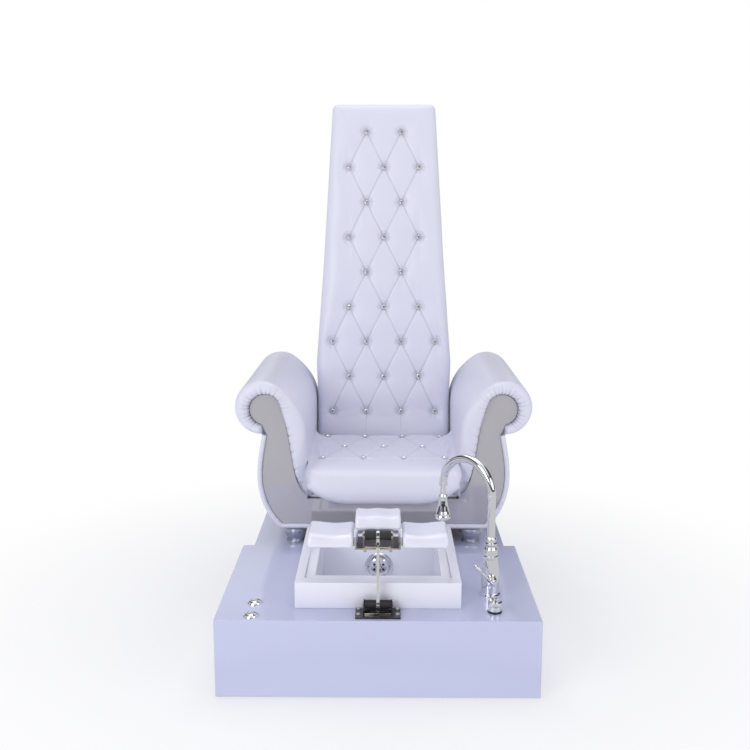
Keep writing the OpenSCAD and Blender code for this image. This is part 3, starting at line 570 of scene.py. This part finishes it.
def make_back():
    rng = np.random.default_rng(7)
    spots = [local_points(BACK, [m])[0][[0, 2]] for m in islands("back_buttons")]
    points, faces, face_count, edge = back_sheet(10 * MM, 20 * MM, 1 * MM)
    pins = set(range(face_count, len(points))) | edge
    face = points[:face_count, [0, 2]]
    for spot in spots:
        away = np.linalg.norm(face - spot, axis=1)
        points[:face_count, 1] += 9 * MM * np.exp(-(away / (20 * MM)) ** 2)
        pins |= set(np.nonzero(away < 9.5 * MM)[0])
    cushion = new_piece("back_cushion_leather", row_points(BACK, points), faces, ["white_leather"],
                        stands_for=["back_cushion"])
    outward(cushion)
    inflate(cushion, pins, 12 * MM)
    subdivide(cushion, 2)
    folds = link_lines(spots, 160 * MM, 5.0 * MM, 1.0)
    low_row = min(s[1] for s in spots)
    for spot in spots:
        if spot[1] < low_row + 20 * MM and abs(spot[0]) < 100 * MM:
            folds.append((spot, spot - [0, 90 * MM], 4 * MM, 0.8, 0.1))
    stars = star_lines(spots, rng, 9, 44 * MM, 2.6 * MM, 1.0)
    press_tufts(cushion, BACK, spots, folds, stars, 12.5 * MM, 16 * MM)
    close_ends(cushion)


def make_back_panel():
    """Slightly crowned leather-covered rear panel with rolled edges."""
    y0 = BACK_DEPTH + 0.5 * MM
    outline = [(x, v) for v, x in BACK_HALF]
    outline[0] = (outline[0][0], PANEL_FOOT)
    right = np.array(outline, float) * MM
    loop = np.vstack([right, right[::-1] * [-1, 1]])
    loop = resample(loop, 220, closed=True)
    inward = normals_2d(loop)
    rings = []
    for inset, depth in ((4, 0), (2, 1.5), (2, 5), (3.5, 7.2), (6, 8), (9, 8.3)):
        ring = loop + inward * inset * MM
        rings.append(np.stack([ring[:, 0], np.full(len(ring), y0 + depth * MM), ring[:, 1]], axis=1))
    middle = ring.mean(0)
    for share in (0.93, 0.8, 0.6, 0.35, 0.1):
        crown = 8.3 + 2.2 * (1 - share ** 2)
        flat = middle + (ring - middle) * share
        rings.append(np.stack([flat[:, 0], np.full(len(flat), y0 + crown * MM), flat[:, 1]], axis=1))
    points = row_points(BACK, np.vstack(rings))
    panel = new_piece("back_panel_leather", points, loft_faces(len(rings), len(loop)), ["white_leather"],
                      stands_for=["back_panel"])
    close_ends(panel)


# ---------- Seat ----------

def seat_profile(rise, inset):
    """Closed side profile of the seat and its front bolster, with the bolster's foot lifted by rise."""
    foot = seat_lo.z + rise
    top = seat_hi.z
    low = 385 * MM
    y0, y1 = seat_lo.y, seat_hi.y
    bulge = y0 + 14 * MM * min(rise / (90 * MM), 1)
    drop = min(foot + 8 * MM, low + 30 * MM)
    path = [(y1, low), (y1, top - 12 * MM), (y1 - 12 * MM, top), (y0 + 92 * MM, top),
            (y0 + 52 * MM, top - 3 * MM), (y0 + 26 * MM, top - 12 * MM), (bulge + 7 * MM, top - 32 * MM),
            (bulge, (top + foot) / 2 - 2 * MM), (bulge + 5 * MM, foot + 24 * MM),
            (y0 + 18 * MM, foot + 6 * MM), (y0 + 32 * MM, foot), (y0 + 50 * MM, drop),
            (y0 + 54 * MM, low + 2 * MM), (y0 + 75 * MM, low)]
    loop = resample(path, 170, closed=True)
    loop = smooth_path(loop, 14)
    return loop + normals_2d(loop) * -inset


def seat_rings():
    """Rings of the seat across its width; the ends are rounded and the bolster's foot curves up to them."""
    half = (seat_hi.x - seat_lo.x) / 2 - 3 * MM
    end_r = 20 * MM
    stations = []
    for k in range(-34, 35):
        stations.append(k / 34 * (half - end_r))
    for k in range(1, 5):
        x = half - end_r + end_r * math.sin(k * math.pi / 8)
        stations = [-x] + stations + [x]
    rings = []
    flat = 108 * MM
    for x in stations:
        over = max(abs(x) - (half - end_r), 0)
        inset = end_r - math.sqrt(max(end_r ** 2 - over ** 2, 0))
        u = min(max((abs(x) - flat) / (half - flat), 0), 1)
        rise = 86 * MM * (1 - math.sqrt(max(1 - u * u, 0)))
        loop = seat_profile(rise, 3 * MM + inset)
        rings.append(np.stack([np.full(len(loop), CHAIR_X + x), loop[:, 0], loop[:, 1]], axis=1))
    return rings


def make_seat():
    rng = np.random.default_rng(11)
    middles = [local_points(SEAT, [m])[0] for m in islands("seat_buttons")]
    spots = [m[[0, 2]] for m in middles]
    seat_pocket = middles[0][1] + 2.2 * MM
    rings = seat_rings()
    points = np.vstack(rings)
    local = local_points(SEAT, points)
    upper = local[:, 1] < 40 * MM
    pins = set(np.nonzero((points[:, 2] < 392 * MM) & (points[:, 1] > 70 * MM))[0])
    pins |= set(np.nonzero(points[:, 1] > seat_hi.y - 12 * MM)[0])
    for spot in spots:
        away = np.linalg.norm(local[:, [0, 2]] - spot, axis=1)
        local[:, 1] += np.where(upper, 8 * MM * np.exp(-(away / (22 * MM)) ** 2), 0)
        pins |= set(np.nonzero(upper & (away < 8.5 * MM))[0])
    faces = loft_faces(len(rings), len(rings[0]))
    cushion = new_piece("seat_cushion_leather", row_points(SEAT, local), faces, ["white_leather"],
                        stands_for=["seat_cushion"])
    outward(cushion)
    calm = ease((points[:, 2] - seat_hi.z + 90 * MM) / (60 * MM))
    inflate(cushion, pins, 12 * MM, calm)
    subdivide(cushion, 1)
    folds = link_lines(spots, 190 * MM, 5 * MM, 0.55)
    stars = star_lines(spots, rng, 8, 42 * MM, 3 * MM, 1.0)
    press_tufts(cushion, SEAT, spots, folds, stars, seat_pocket, 16 * MM)
    close_ends(cushion)


def make_lining():
    """Padded leather lining across the front of the seat frame, behind the bolster."""
    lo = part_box("seat_frame")[0]
    half = ARM_INNER - 1 * MM
    low, high = 373 * MM, 470 * MM
    left, right = CHAIR_X - half, CHAIR_X + half
    corners = [(left, low), (right, low), (right, high), (left, high)]
    loop = rounded_loop([(x / MM, z / MM) for x, z in corners], 200, 4)
    inside = normals_2d(loop)
    rings = []
    for inset, y in ((1, 0), (0, -2), (1, -4), (4, -6.5), (9, -8), (20, -9)):
        ring = loop + inside * inset * MM
        rings.append(np.stack([ring[:, 0], np.full(len(ring), lo.y + (y - 0.3) * MM), ring[:, 1]], axis=1))
    lining = new_piece("seat_front_lining", np.vstack(rings), loft_faces(len(rings), len(loop)),
                       ["white_leather"])
    close_ends(lining)


# ---------- Arms ----------

LYRE = [ROLL + Vector(p) * MM for p in ((2, -92), (16, -174), (55, -306))]
LYRE.append(Vector((ROLL.x - 54 * MM, BASE_Z)))
NECK = [ROLL + Vector(p) * MM for p in ((-62, -8), (-100, -94), (-88, -284), (-147, -299))]
SHOULDER = [ROLL + Vector(p) * MM for p in ((-50, 77), (-96, 47), (-148, -14), (-148, -84))]


def circle_points(centre, r, start, end, n):
    return [centre + r * Vector((math.cos(a), math.sin(a)))
            for a in np.radians(np.linspace(start, end, n))]


def arm_outlines():
    """Matched outer and inner loops of an arm's front, and how far the facing bulges at each point."""
    flank = [p for p in reversed(cubic(LYRE, 40)) if p.y > ARM_FOOT + 4 * MM]
    parts = [
        (flank, flank, 42, 0, 0),
        (circle_points(ROLL, ROLL_R, -88, 123, 60), circle_points(BOARD_HEAD, BOARD_HEAD_R, -82, 150, 60),
         74, 1, 1),
        (cubic(SHOULDER, 30), cubic(NECK, 60)[:28], 34, 1, 1),
        ([SHOULDER[3], Vector((ARM_INNER, NECK_FOOT.y))], cubic(NECK, 60)[28:], 30, 1, 0),
        ([Vector((ARM_INNER, NECK_FOOT.y - 6 * MM)), Vector((ARM_INNER, ARM_FOOT))],) * 2 + (14, 0, 0),
        ([Vector((ARM_INNER + 6 * MM, ARM_FOOT)), Vector((ROLL.x - 48 * MM, ARM_FOOT))],) * 2 + (12, 0, 0),
    ]
    outer, inner, bulge = [], [], []
    for out, inn, n, b0, b1 in parts:
        outer.append(resample(out, n))
        inner.append(resample(inn, n))
        bulge.append(np.linspace(b0, b1, n))
    return np.vstack(outer), np.vstack(inner), np.concatenate(bulge)


def arm_rings(side):
    """Rings of one arm from behind the board, over the facing and along to the rear."""
    outer, inner, bulge = arm_outlines()
    spaced = smooth_path(outer, 3)
    bulge = ease(smooth_path(bulge[:, None], 6)[:, 0])
    inward = normals_2d(spaced)
    inner = smooth_path(inner, 3)
    gap = ease(bulge * 3)[:, None]
    inner = inner * gap + (spaced + inward * 8 * MM) * (1 - gap)
    slim = spaced + inward * 2.5 * MM
    front = BOARD_Y + 2 * MM
    deep = BOARD_BACK + 1.5 * MM
    start = front * bulge + deep * (1 - bulge)
    rings = [(inner, np.full(len(inner), deep)), (inner, start)]
    proud = (front - ARM_FRONT - 1 * MM) * bulge
    for k in range(1, 12):
        turn = math.pi * k / 12
        share = (1 - math.cos(turn)) / 2
        rings.append((inner * (1 - share) + slim * share, start - proud * math.sin(turn) ** 0.8))
    for k in range(34):
        t = k / 33
        rings.append((slim, start * (1 - t) + (ARM_REAR - 22 * MM) * t))
    rounded = smooth_path(slim, 30)
    end = rounded + normals_2d(rounded) * 14 * MM
    for k in range(1, 6):
        turn = math.pi / 2 * k / 5
        share = 1 - math.cos(turn)
        ring = slim * (1 - share) + end * share
        rings.append((ring, np.full(len(ring), ARM_REAR - 22 * MM + 20 * MM * math.sin(turn))))
    return [np.stack([CHAIR_X + side * r[:, 0], y, r[:, 1]], axis=1) for r, y in rings]


def pleat_arm(obj, side, rng):
    """Radial gathers on the facing round the board's head and down its neck, with painted shade in the
    gathers and the tuck.
    """
    co = coords(obj)
    flat = np.stack([(co[:, 0] - CHAIR_X) * side, co[:, 2]], axis=1)
    head = np.array(BOARD_HEAD)
    lines = []
    angle = -52.0
    while angle < 196:
        way = np.array([math.cos(math.radians(angle)), math.sin(math.radians(angle))])
        begin = head + way * (BOARD_HEAD_R - 2 * MM)
        long = rng.uniform(26, 44) * MM
        lines.append((begin, begin + way * long, rng.uniform(1.8, 2.8) * MM, rng.uniform(0.55, 1), 0.05))
        angle += rng.uniform(8, 15)
    neck = cubic(NECK, 40)
    for k in (8, 11, 14, 17, 20, 24, 28):
        begin = np.array(neck[k])
        way = np.array([-0.86, 0.5 + rng.uniform(-0.12, 0.12)])
        lines.append((begin, begin + way * rng.uniform(18, 40) * MM, 2.4 * MM, rng.uniform(0.5, 0.9), 0.0))
    reach = ease((BOARD_Y + 28 * MM - co[:, 1]) / (30 * MM))
    depth = grooves(flat, lines) * reach
    normal = np.empty(len(co) * 3)
    obj.data.vertices.foreach_get("normal", normal)
    set_coords(obj, co - normal.reshape(-1, 3) * (depth * 2.6 * MM)[:, None])
    # Painted shade: darker colour along the gathers and in the tuck round the board's head, kept as a point
    # attribute for the leather.
    tuck = np.exp(-((np.linalg.norm(flat - head, axis=1) - BOARD_HEAD_R) / (3 * MM)) ** 2)
    painted_shade = np.clip(depth * 0.6 + tuck * 0.5 * (co[:, 1] < BOARD_BACK), 0, 1)
    layer = obj.data.attributes.new("crease_shade", "FLOAT", "POINT")
    layer.data.foreach_set("value", painted_shade.astype(np.float32))


def make_arm(side, name, stands_for):
    rings = arm_rings(side)
    around = len(rings[0])
    arm = new_piece(name, np.vstack(rings), loft_faces(len(rings), around), ["white_leather"],
                    stands_for=stands_for)
    outward(arm)
    co = coords(arm)
    pins = np.nonzero((co[:, 1] > ARM_REAR - 30 * MM) | (co[:, 2] < ARM_FOOT + 6 * MM))[0]
    pins = set(pins) | set(range(around * 3))
    local_x = (co[:, 0] - CHAIR_X) * side
    pins |= set(np.nonzero((local_x < ARM_INNER + 6 * MM) & (co[:, 2] < 540 * MM))[0])
    inflate(arm, pins, 5 * MM)
    subdivide(arm, 1)
    pleat_arm(arm, side, np.random.default_rng(23 if side > 0 else 29))
    close_ends(arm)


# ---------- Padded strip round the board ----------

def make_piping():
    """Rounded padded strip down both outer edges of the board and along its foot."""
    lyre = np.array([tuple(p) for p in cubic(LYRE, 60)])
    side_out = np.vstack([lyre, [[ROLL.x - 60 * MM, BASE_Z]]])
    outer = np.vstack([side_out, side_out[::-1] * [-1, 1]])
    outer = resample(outer, 330)
    outer = smooth_path(outer, 4, closed=False)
    inward = -normals_2d(outer, closed=False)
    rings = []
    back, face = BOARD_BACK - 0.5 * MM, BOARD_Y
    proud = face - piping_lo.y
    section = [(1.2, back), (0.4, back - 2 * MM), (0.4, face + 2 * MM)]
    for k in range(0, 13):
        turn = math.pi * k / 12
        across = 0.4 + (PIPING_W / MM - 0.8) * (1 - math.cos(turn)) / 2
        section.append((across, face - proud * math.sin(turn)))
    section += [(PIPING_W / MM - 0.4, back - 2 * MM), (PIPING_W / MM - 1.2, back)]
    for p, n in zip(outer, inward):
        rings.append([(CHAIR_X + p[0] + n[0] * w * MM, y, p[1] + n[1] * w * MM) for w, y in section])
    points = np.vstack([np.array(r) for r in rings])
    strip = new_piece("board_piping_leather", points, loft_faces(len(rings), len(section)), ["white_leather"],
                      stands_for=["board_piping"])
    close_ends(strip)


# ---------- Foot pads ----------

def rounded_loop(corners, n, times):
    return smooth_path(resample(np.array(corners) * MM, n, closed=True), times)


def make_pad(name, x0, x1, corners, wave, lip, body, stands_for=()):
    """Moulded foot pad: a rounded profile run across, with a waved top and a lip at the front."""
    loop = rounded_loop(corners, 96, 6)
    inside = normals_2d(loop)
    middle = loop.mean(0)
    if ((middle - loop) * inside).sum() < 0:
        inside = -inside
    r = 9 * MM
    mid, half = (x0 + x1) / 2, (x1 - x0) / 2
    xs = list(np.linspace(-(half - r), half - r, 31))
    for k in range(1, 6):
        x = half - r + r * math.sin(k * math.pi / 10)
        xs = [-x] + xs + [x]
    rings = []
    low, high = loop[:, 1].min(), loop[:, 1].max()
    for x in xs:
        over = max(abs(x) - (half - r), 0)
        inset = r - math.sqrt(max(r * r - over * over, 0))
        ring = loop + inside * inset
        share = (ring[:, 1] - low) / (high - low)
        u = x / half
        front = ease((middle[0] - ring[:, 0]) / (40 * MM))
        z = ring[:, 1] + wave(u) * share * MM + lip(u) * front * MM * (1 - share)
        rings.append(np.stack([np.full(len(ring), mid + x), ring[:, 0], z], axis=1))
    faces = loft_faces(len(rings), len(loop))
    pad = new_piece(name, np.vstack(rings), faces, ["pad_gloss"], body, stands_for)
    close_ends(pad)


def make_pads():
    lo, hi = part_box("centre_pad")
    y, z = lo.y / MM, lo.z / MM
    centre = [(y, z), (y + 100, z), (y + 100, z + 24), (y + 94, z + 33), (y + 84, z + 37), (y + 26, z + 37),
              (y + 8, z + 33), (y, z + 20)]
    make_pad("centre_pad_moulded", lo.x, hi.x, centre, lambda u: 1.2 * math.cos(2 * math.pi * u) - 1.2,
             lambda u: 2.4 * (u * u - 0.4), "footrest_head", ["centre_pad"])
    lo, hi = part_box("side_pads")
    inner = hi.x - (hi.x - lo.x - 136 * MM) / 2
    y, z = lo.y / MM, lo.z / MM
    side = [(y, z), (y + 147, z), (y + 147, z + 20), (y + 140, z + 30), (y + 124, z + 34), (y + 26, z + 34),
            (y + 6, z + 28), (y, z + 14)]
    for s, tag in ((-1, "right"), (1, "left")):
        x0, x1 = sorted((s * inner, s * hi.x))
        make_pad(f"side_pad_{tag}_moulded", x0, x1, side,
                 lambda u, s=s: -3.0 * math.cos(math.pi * u * 0.9 + s * 0.5) + 1.0,
                 lambda u: 0.0, "footrest_head", ["side_pads"] if s < 0 else ())


# ---------- Buttons ----------

def crystal_mesh():
    """Plated bezel with a cut crystal: points, faces and material index per face, base at z 0."""
    points, faces, kinds = [], [], []

    def lathe(profile, n, kind):
        start = len(points)
        for r, z, turn in profile:
            for i in range(n):
                a = 2 * math.pi * (i + turn) / n
                points.append((r * math.cos(a) * MM, r * math.sin(a) * MM, z * MM))
        for k in range(len(profile) - 1):
            for i in range(n):
                j = (i + 1) % n
                low, high = start + k * n, start + (k + 1) * n
                faces.append((low + i, low + j, high + j, high + i))
                kinds.append(kind)
        faces.append(tuple(start + i for i in range(n))[::-1])
        kinds.append(kind)
        faces.append(tuple(start + (len(profile) - 1) * n + i for i in range(n)))
        kinds.append(kind)

    lathe([(8.8, 0, 0), (9.4, 0.8, 0), (9.4, 2.0, 0), (8.6, 3.0, 0), (7.9, 3.3, 0)], 24, 0)
    lathe([(7.8, 3.0, 0), (7.8, 4.0, 0), (6.4, 5.6, 0.5), (4.4, 7.0, 0), (3.6, 7.3, 0.5)], 10, 1)
    return points, faces, kinds


def make_buttons(node, matrix, name):
    """One crystal button at each CAD button, facing out of the cushion."""
    points, faces, kinds = crystal_mesh()
    turn = matrix.to_3x3() @ Matrix.Rotation(math.pi / 2, 3, "X")
    all_points, all_faces, all_kinds = [], [], []
    for k, middle in enumerate(islands(node)):
        spin = Matrix.Rotation(k * 0.7, 3, "Z")
        base = len(all_points)
        out = turn @ Vector((0, 0, 1))
        seat = Vector(middle) - out * 3.75 * MM
        all_points += [tuple(seat + turn @ (spin @ Vector(p))) for p in points]
        all_faces += [tuple(base + i for i in f) for f in faces]
        all_kinds += kinds
    obj = new_piece(name, all_points, all_faces, ["bezel_silver", "crystal"], stands_for=[node], smooth=False)
    obj.data.polygons.foreach_set("material_index", all_kinds)


# ---------- CAD nodes that stay ----------

FINISH = {
    "gloss_shell": ["front_plinth_shell", "rear_plinth_shell", "service_panel"],
    "basin_gloss": ["foot_basin"],
    "pad_gloss": ["pad_riser"],
    "sealant": ["basin_seal"],
    "timber": ["base_frame", "seat_frame", "arm_cores", "back_frame"],
    "dark_rubber": ["levelling_feet", "base_hinge_bushes", "head_hinge_bushes"],
    "steel": ["service_screws", "footrest_screws", "base_hinge_pin", "head_hinge_pin"],
    "mirror_steel": ["base_stop_plate", "head_stop_plate", "head_bracket"],
    "chrome": ["footrest_post", "jet_cover", "drain_strainer", "drain_plug", "tap_body", "tap_spout",
               "handle_hub", "handle_lever", "spray_head", "valve_knob", "air_button_bodies",
               "front_air_button", "rear_air_button"],
    "brass": ["tap_nut", "water_inlets"],
    "black_plastic": ["spray_button", "valve_body", "power_inlet", "control_box", "jet_motor"],
    "grey_plastic": ["spray_face", "jet_housing", "jet_impeller", "drain_nut", "drain_pipe"],
    "hose_braid": ["supply_hoses"],
    "tube_plastic": ["air_tubes"],
    "cable_black": ["wiring"],
    "black_steel": ["footrest_base"],
    "silver_turned": ["chair_feet"],
    "board_lacquer": ["front_board"],
}
EDGE_RADIUS = {"front_plinth_shell": 2.8, "rear_plinth_shell": 2.4, "foot_basin": 2.8, "pad_riser": 2.0,
               "front_board": 1.2, "footrest_base": 0.6, "head_bracket": 0.5, "control_box": 3.0,
               "service_panel": 0.8, "base_stop_plate": 0.4, "head_stop_plate": 0.4}


def edge_key(a, b):
    """The same key for an edge in either direction, from its end points."""
    ends = [tuple(round(c, 5) for c in p) for p in (a, b)]
    return tuple(sorted(ends))


def mark_edges(mesh):
    """Marks long straight corners for rounding and the other corners as sharp."""
    bm = bmesh.new()
    bm.from_mesh(mesh)
    bmesh.ops.remove_doubles(bm, verts=bm.verts, dist=0.01 * MM)
    corner = [e for e in bm.edges if len(e.link_faces) == 2 and e.calc_face_angle() > math.radians(28)]
    long = {edge_key(*(v.co for v in e.verts)) for e in corner if e.calc_length() > 9 * MM}
    short = {edge_key(*(v.co for v in e.verts)) for e in corner if e.calc_length() <= 9 * MM}
    bm.free()
    weight = mesh.attributes.new("bevel_weight_edge", "FLOAT", "EDGE")
    sharp = mesh.attributes.get("sharp_edge") or mesh.attributes.new("sharp_edge", "BOOLEAN", "EDGE")
    for e in mesh.edges:
        key = edge_key(*(mesh.vertices[i].co for i in e.vertices))
        weight.data[e.index].value = 1.0 if key in long else 0.0
        sharp.data[e.index].value = key in short


def dress_node(name, finish):
    """Gives a CAD node its finish, and rounds the long corners of the moulded and folded ones."""
    obj = nodes[name]
    mesh = obj.data
    mesh.materials.clear()
    mesh.materials.append(materials[finish])
    if name not in EDGE_RADIUS:
        return
    if "custom_normal" in mesh.attributes:
        mesh.attributes.remove(mesh.attributes["custom_normal"])
    mesh.shade_smooth()
    mark_edges(mesh)
    weld = obj.modifiers.new("Weld", "WELD")
    weld.merge_threshold = 0.02 * MM
    bevel = obj.modifiers.new("Edges", "BEVEL")
    bevel.width = EDGE_RADIUS[name] * MM
    bevel.segments = 4
    bevel.limit_method = "WEIGHT"
    bevel.use_clamp_overlap = False
    even = obj.modifiers.new("Normals", "WEIGHTED_NORMAL")
    even.keep_sharp = True


# ---------- Room, light and camera ----------

# Name, place, target, size in metres, and power in watts
LIGHTS = [
    ("key", (-2.4, -3.2, 2.0), (0, 0.1, 0.4), (2.2, 1.8), 52),
    ("fill", (2.8, -2.4, 1.7), (0, 0.1, 0.4), (2.4, 2.0), 22),
    ("top", (0, 1.0, 4.2), (0, 0, 0.4), (3.0, 3.0), 42),
]
CAMERA_PLACE = (0.01629, -3.1499, 1.36112)
CAMERA_DOWN = math.radians(10.0155)
CAMERA_TURN = math.radians(0.5336)


def ramp(tree, value, stops):
    """Grey levels along a value from -1 to 1."""
    half = tree.nodes.new("ShaderNodeMapRange")
    half.inputs["From Min"].default_value = -1
    tree.links.new(value, half.inputs["Value"])
    node = tree.nodes.new("ShaderNodeValToRGB")
    elements = node.color_ramp.elements
    while len(elements) < len(stops):
        elements.new(0.5)
    for element, (spot, level) in zip(elements, stops):
        element.position = spot
        element.color = (level, level, level, 1)
    tree.links.new(half.outputs["Result"], node.inputs["Fac"])
    return node.outputs["Color"]


def make_room():
    """Pale floor that fades into the white surround away from the chair; reflections see painted light and
    dark rings on it instead of the lit floor.
    """
    size = 14.0
    mesh = bpy.data.meshes.new("floor")
    corners = [(-size, -size, 0), (size, -size, 0), (size, size, 0), (-size, size, 0)]
    mesh.from_pydata(corners, [], [(0, 1, 2, 3)])
    floor = bpy.data.objects.new("floor", mesh)
    bpy.context.scene.collection.objects.link(floor)
    mat = finish_material("floor_paint", (0.93, 0.93, 0.94), 0.6, grain=30, shade=0.99)
    tree = mat.node_tree
    link = tree.links.new
    place = tree.nodes.new("ShaderNodeTexCoord")
    length = tree.nodes.new("ShaderNodeVectorMath")
    length.operation = "LENGTH"
    link(place.outputs["Object"], length.inputs[0])
    fade = tree.nodes.new("ShaderNodeMapRange")
    fade.interpolation_type = "SMOOTHSTEP"
    fade.inputs["From Min"].default_value = 0.5
    fade.inputs["From Max"].default_value = 1.9
    fade.inputs["To Min"].default_value = 0.45
    link(length.outputs["Value"], fade.inputs["Value"])
    glow = add(tree, "ShaderNodeEmission", Color=(1, 1, 1, 1), Strength=1.0)
    mix = tree.nodes.new("ShaderNodeMixShader")
    link(fade.outputs["Result"], mix.inputs[0])
    link(tree.nodes["Principled BSDF"].outputs[0], mix.inputs[1])
    link(glow.outputs[0], mix.inputs[2])
    # Painted reflection: glossy rays see the floor as glowing grey rings, bright near the chair with a dark
    # ring about 0.86 m out.
    levels = [(0.5, 0.9), (0.85, 0.8), (0.93, 0.3), (0.96, 0.62), (1.0, 0.66)]
    rings = ramp(tree, length.outputs["Value"], levels)
    painted_floor_reflection = add(tree, "ShaderNodeEmission", Strength=1.0)
    link(rings, painted_floor_reflection.inputs["Color"])
    path = tree.nodes.new("ShaderNodeLightPath")
    last = tree.nodes.new("ShaderNodeMixShader")
    link(path.outputs["Is Glossy Ray"], last.inputs[0])
    link(mix.outputs[0], last.inputs[1])
    link(painted_floor_reflection.outputs[0], last.inputs[2])
    link(last.outputs[0], tree.nodes["Material Output"].inputs["Surface"])
    mesh.materials.append(mat)


def make_world():
    """White to the camera, softer to everything else, with dark flags that only reflections see."""
    world = bpy.data.worlds.new("studio")
    bpy.context.scene.world = world
    world.use_nodes = True
    tree = world.node_tree
    link = tree.links.new
    tree.nodes.clear()
    out = tree.nodes.new("ShaderNodeOutputWorld")
    path = tree.nodes.new("ShaderNodeLightPath")
    where = tree.nodes.new("ShaderNodeTexCoord")
    axes = tree.nodes.new("ShaderNodeSeparateXYZ")
    link(where.outputs["Generated"], axes.inputs[0])
    rise = ramp(tree, axes.outputs["Z"], [(0, 0.8), (0.50, 0.10), (0.56, 0.14), (0.60, 0.9), (0.68, 1.0),
                                          (0.73, 0.25), (0.80, 0.35), (0.86, 1.0)])
    flags = [(0, 0.9), (0.10, 0.15), (0.22, 0.12), (0.28, 1.0), (0.44, 1.0), (0.50, 0.12), (0.56, 0.15),
             (0.61, 1.0), (0.74, 0.9), (0.80, 0.10), (0.92, 0.15), (1.0, 0.9)]
    across = ramp(tree, axes.outputs["X"], flags)
    both = tree.nodes.new("ShaderNodeMix")
    both.data_type = "RGBA"
    both.blend_type = "MULTIPLY"
    both.inputs[0].default_value = 1.0
    link(rise, both.inputs[6])
    link(across, both.inputs[7])
    glossy = add(tree, "ShaderNodeBackground", Strength=1.1)
    link(both.outputs[2], glossy.inputs["Color"])
    soft = add(tree, "ShaderNodeBackground", Color=(0.93, 0.94, 1.0, 1), Strength=0.60)
    white = add(tree, "ShaderNodeBackground", Color=(1, 1, 1, 1), Strength=1.0)
    first = tree.nodes.new("ShaderNodeMixShader")
    second = tree.nodes.new("ShaderNodeMixShader")
    link(path.outputs["Is Glossy Ray"], first.inputs[0])
    link(soft.outputs[0], first.inputs[1])
    link(glossy.outputs[0], first.inputs[2])
    link(path.outputs["Is Camera Ray"], second.inputs[0])
    link(first.outputs[0], second.inputs[1])
    link(white.outputs[0], second.inputs[2])
    link(second.outputs[0], out.inputs["Surface"])


def make_light(name, place, target, size, power):
    data = bpy.data.lights.new(name, "AREA")
    data.shape = "RECTANGLE"
    data.size, data.size_y = size
    data.energy = power
    lamp = bpy.data.objects.new(name, data)
    bpy.context.scene.collection.objects.link(lamp)
    lamp.location = place
    lamp.visible_camera = False
    lamp.rotation_euler = (Vector(target) - Vector(place)).to_track_quat("-Z", "Y").to_euler()


def make_camera():
    data = bpy.data.cameras.new("camera")
    data.lens = 48
    data.sensor_width = 36
    camera = bpy.data.objects.new("camera", data)
    bpy.context.scene.collection.objects.link(camera)
    camera.location = CAMERA_PLACE
    camera.rotation_euler = (math.pi / 2 - CAMERA_DOWN, 0, CAMERA_TURN)
    bpy.context.scene.camera = camera


make_back()
make_back_panel()
make_seat()
make_lining()
make_arm(1, "arm_leather_left", ["arm_pads"])
make_arm(-1, "arm_leather_right", ())
make_piping()
make_pads()
make_buttons("back_buttons", BACK, "back_crystals")
make_buttons("seat_buttons", SEAT, "seat_crystals")
for finish, names in FINISH.items():
    for node_name in names:
        dress_node(node_name, finish)
make_room()
make_world()
for light in LIGHTS:
    make_light(*light)
make_camera()
bpy.context.scene.view_settings.view_transform = "Standard"
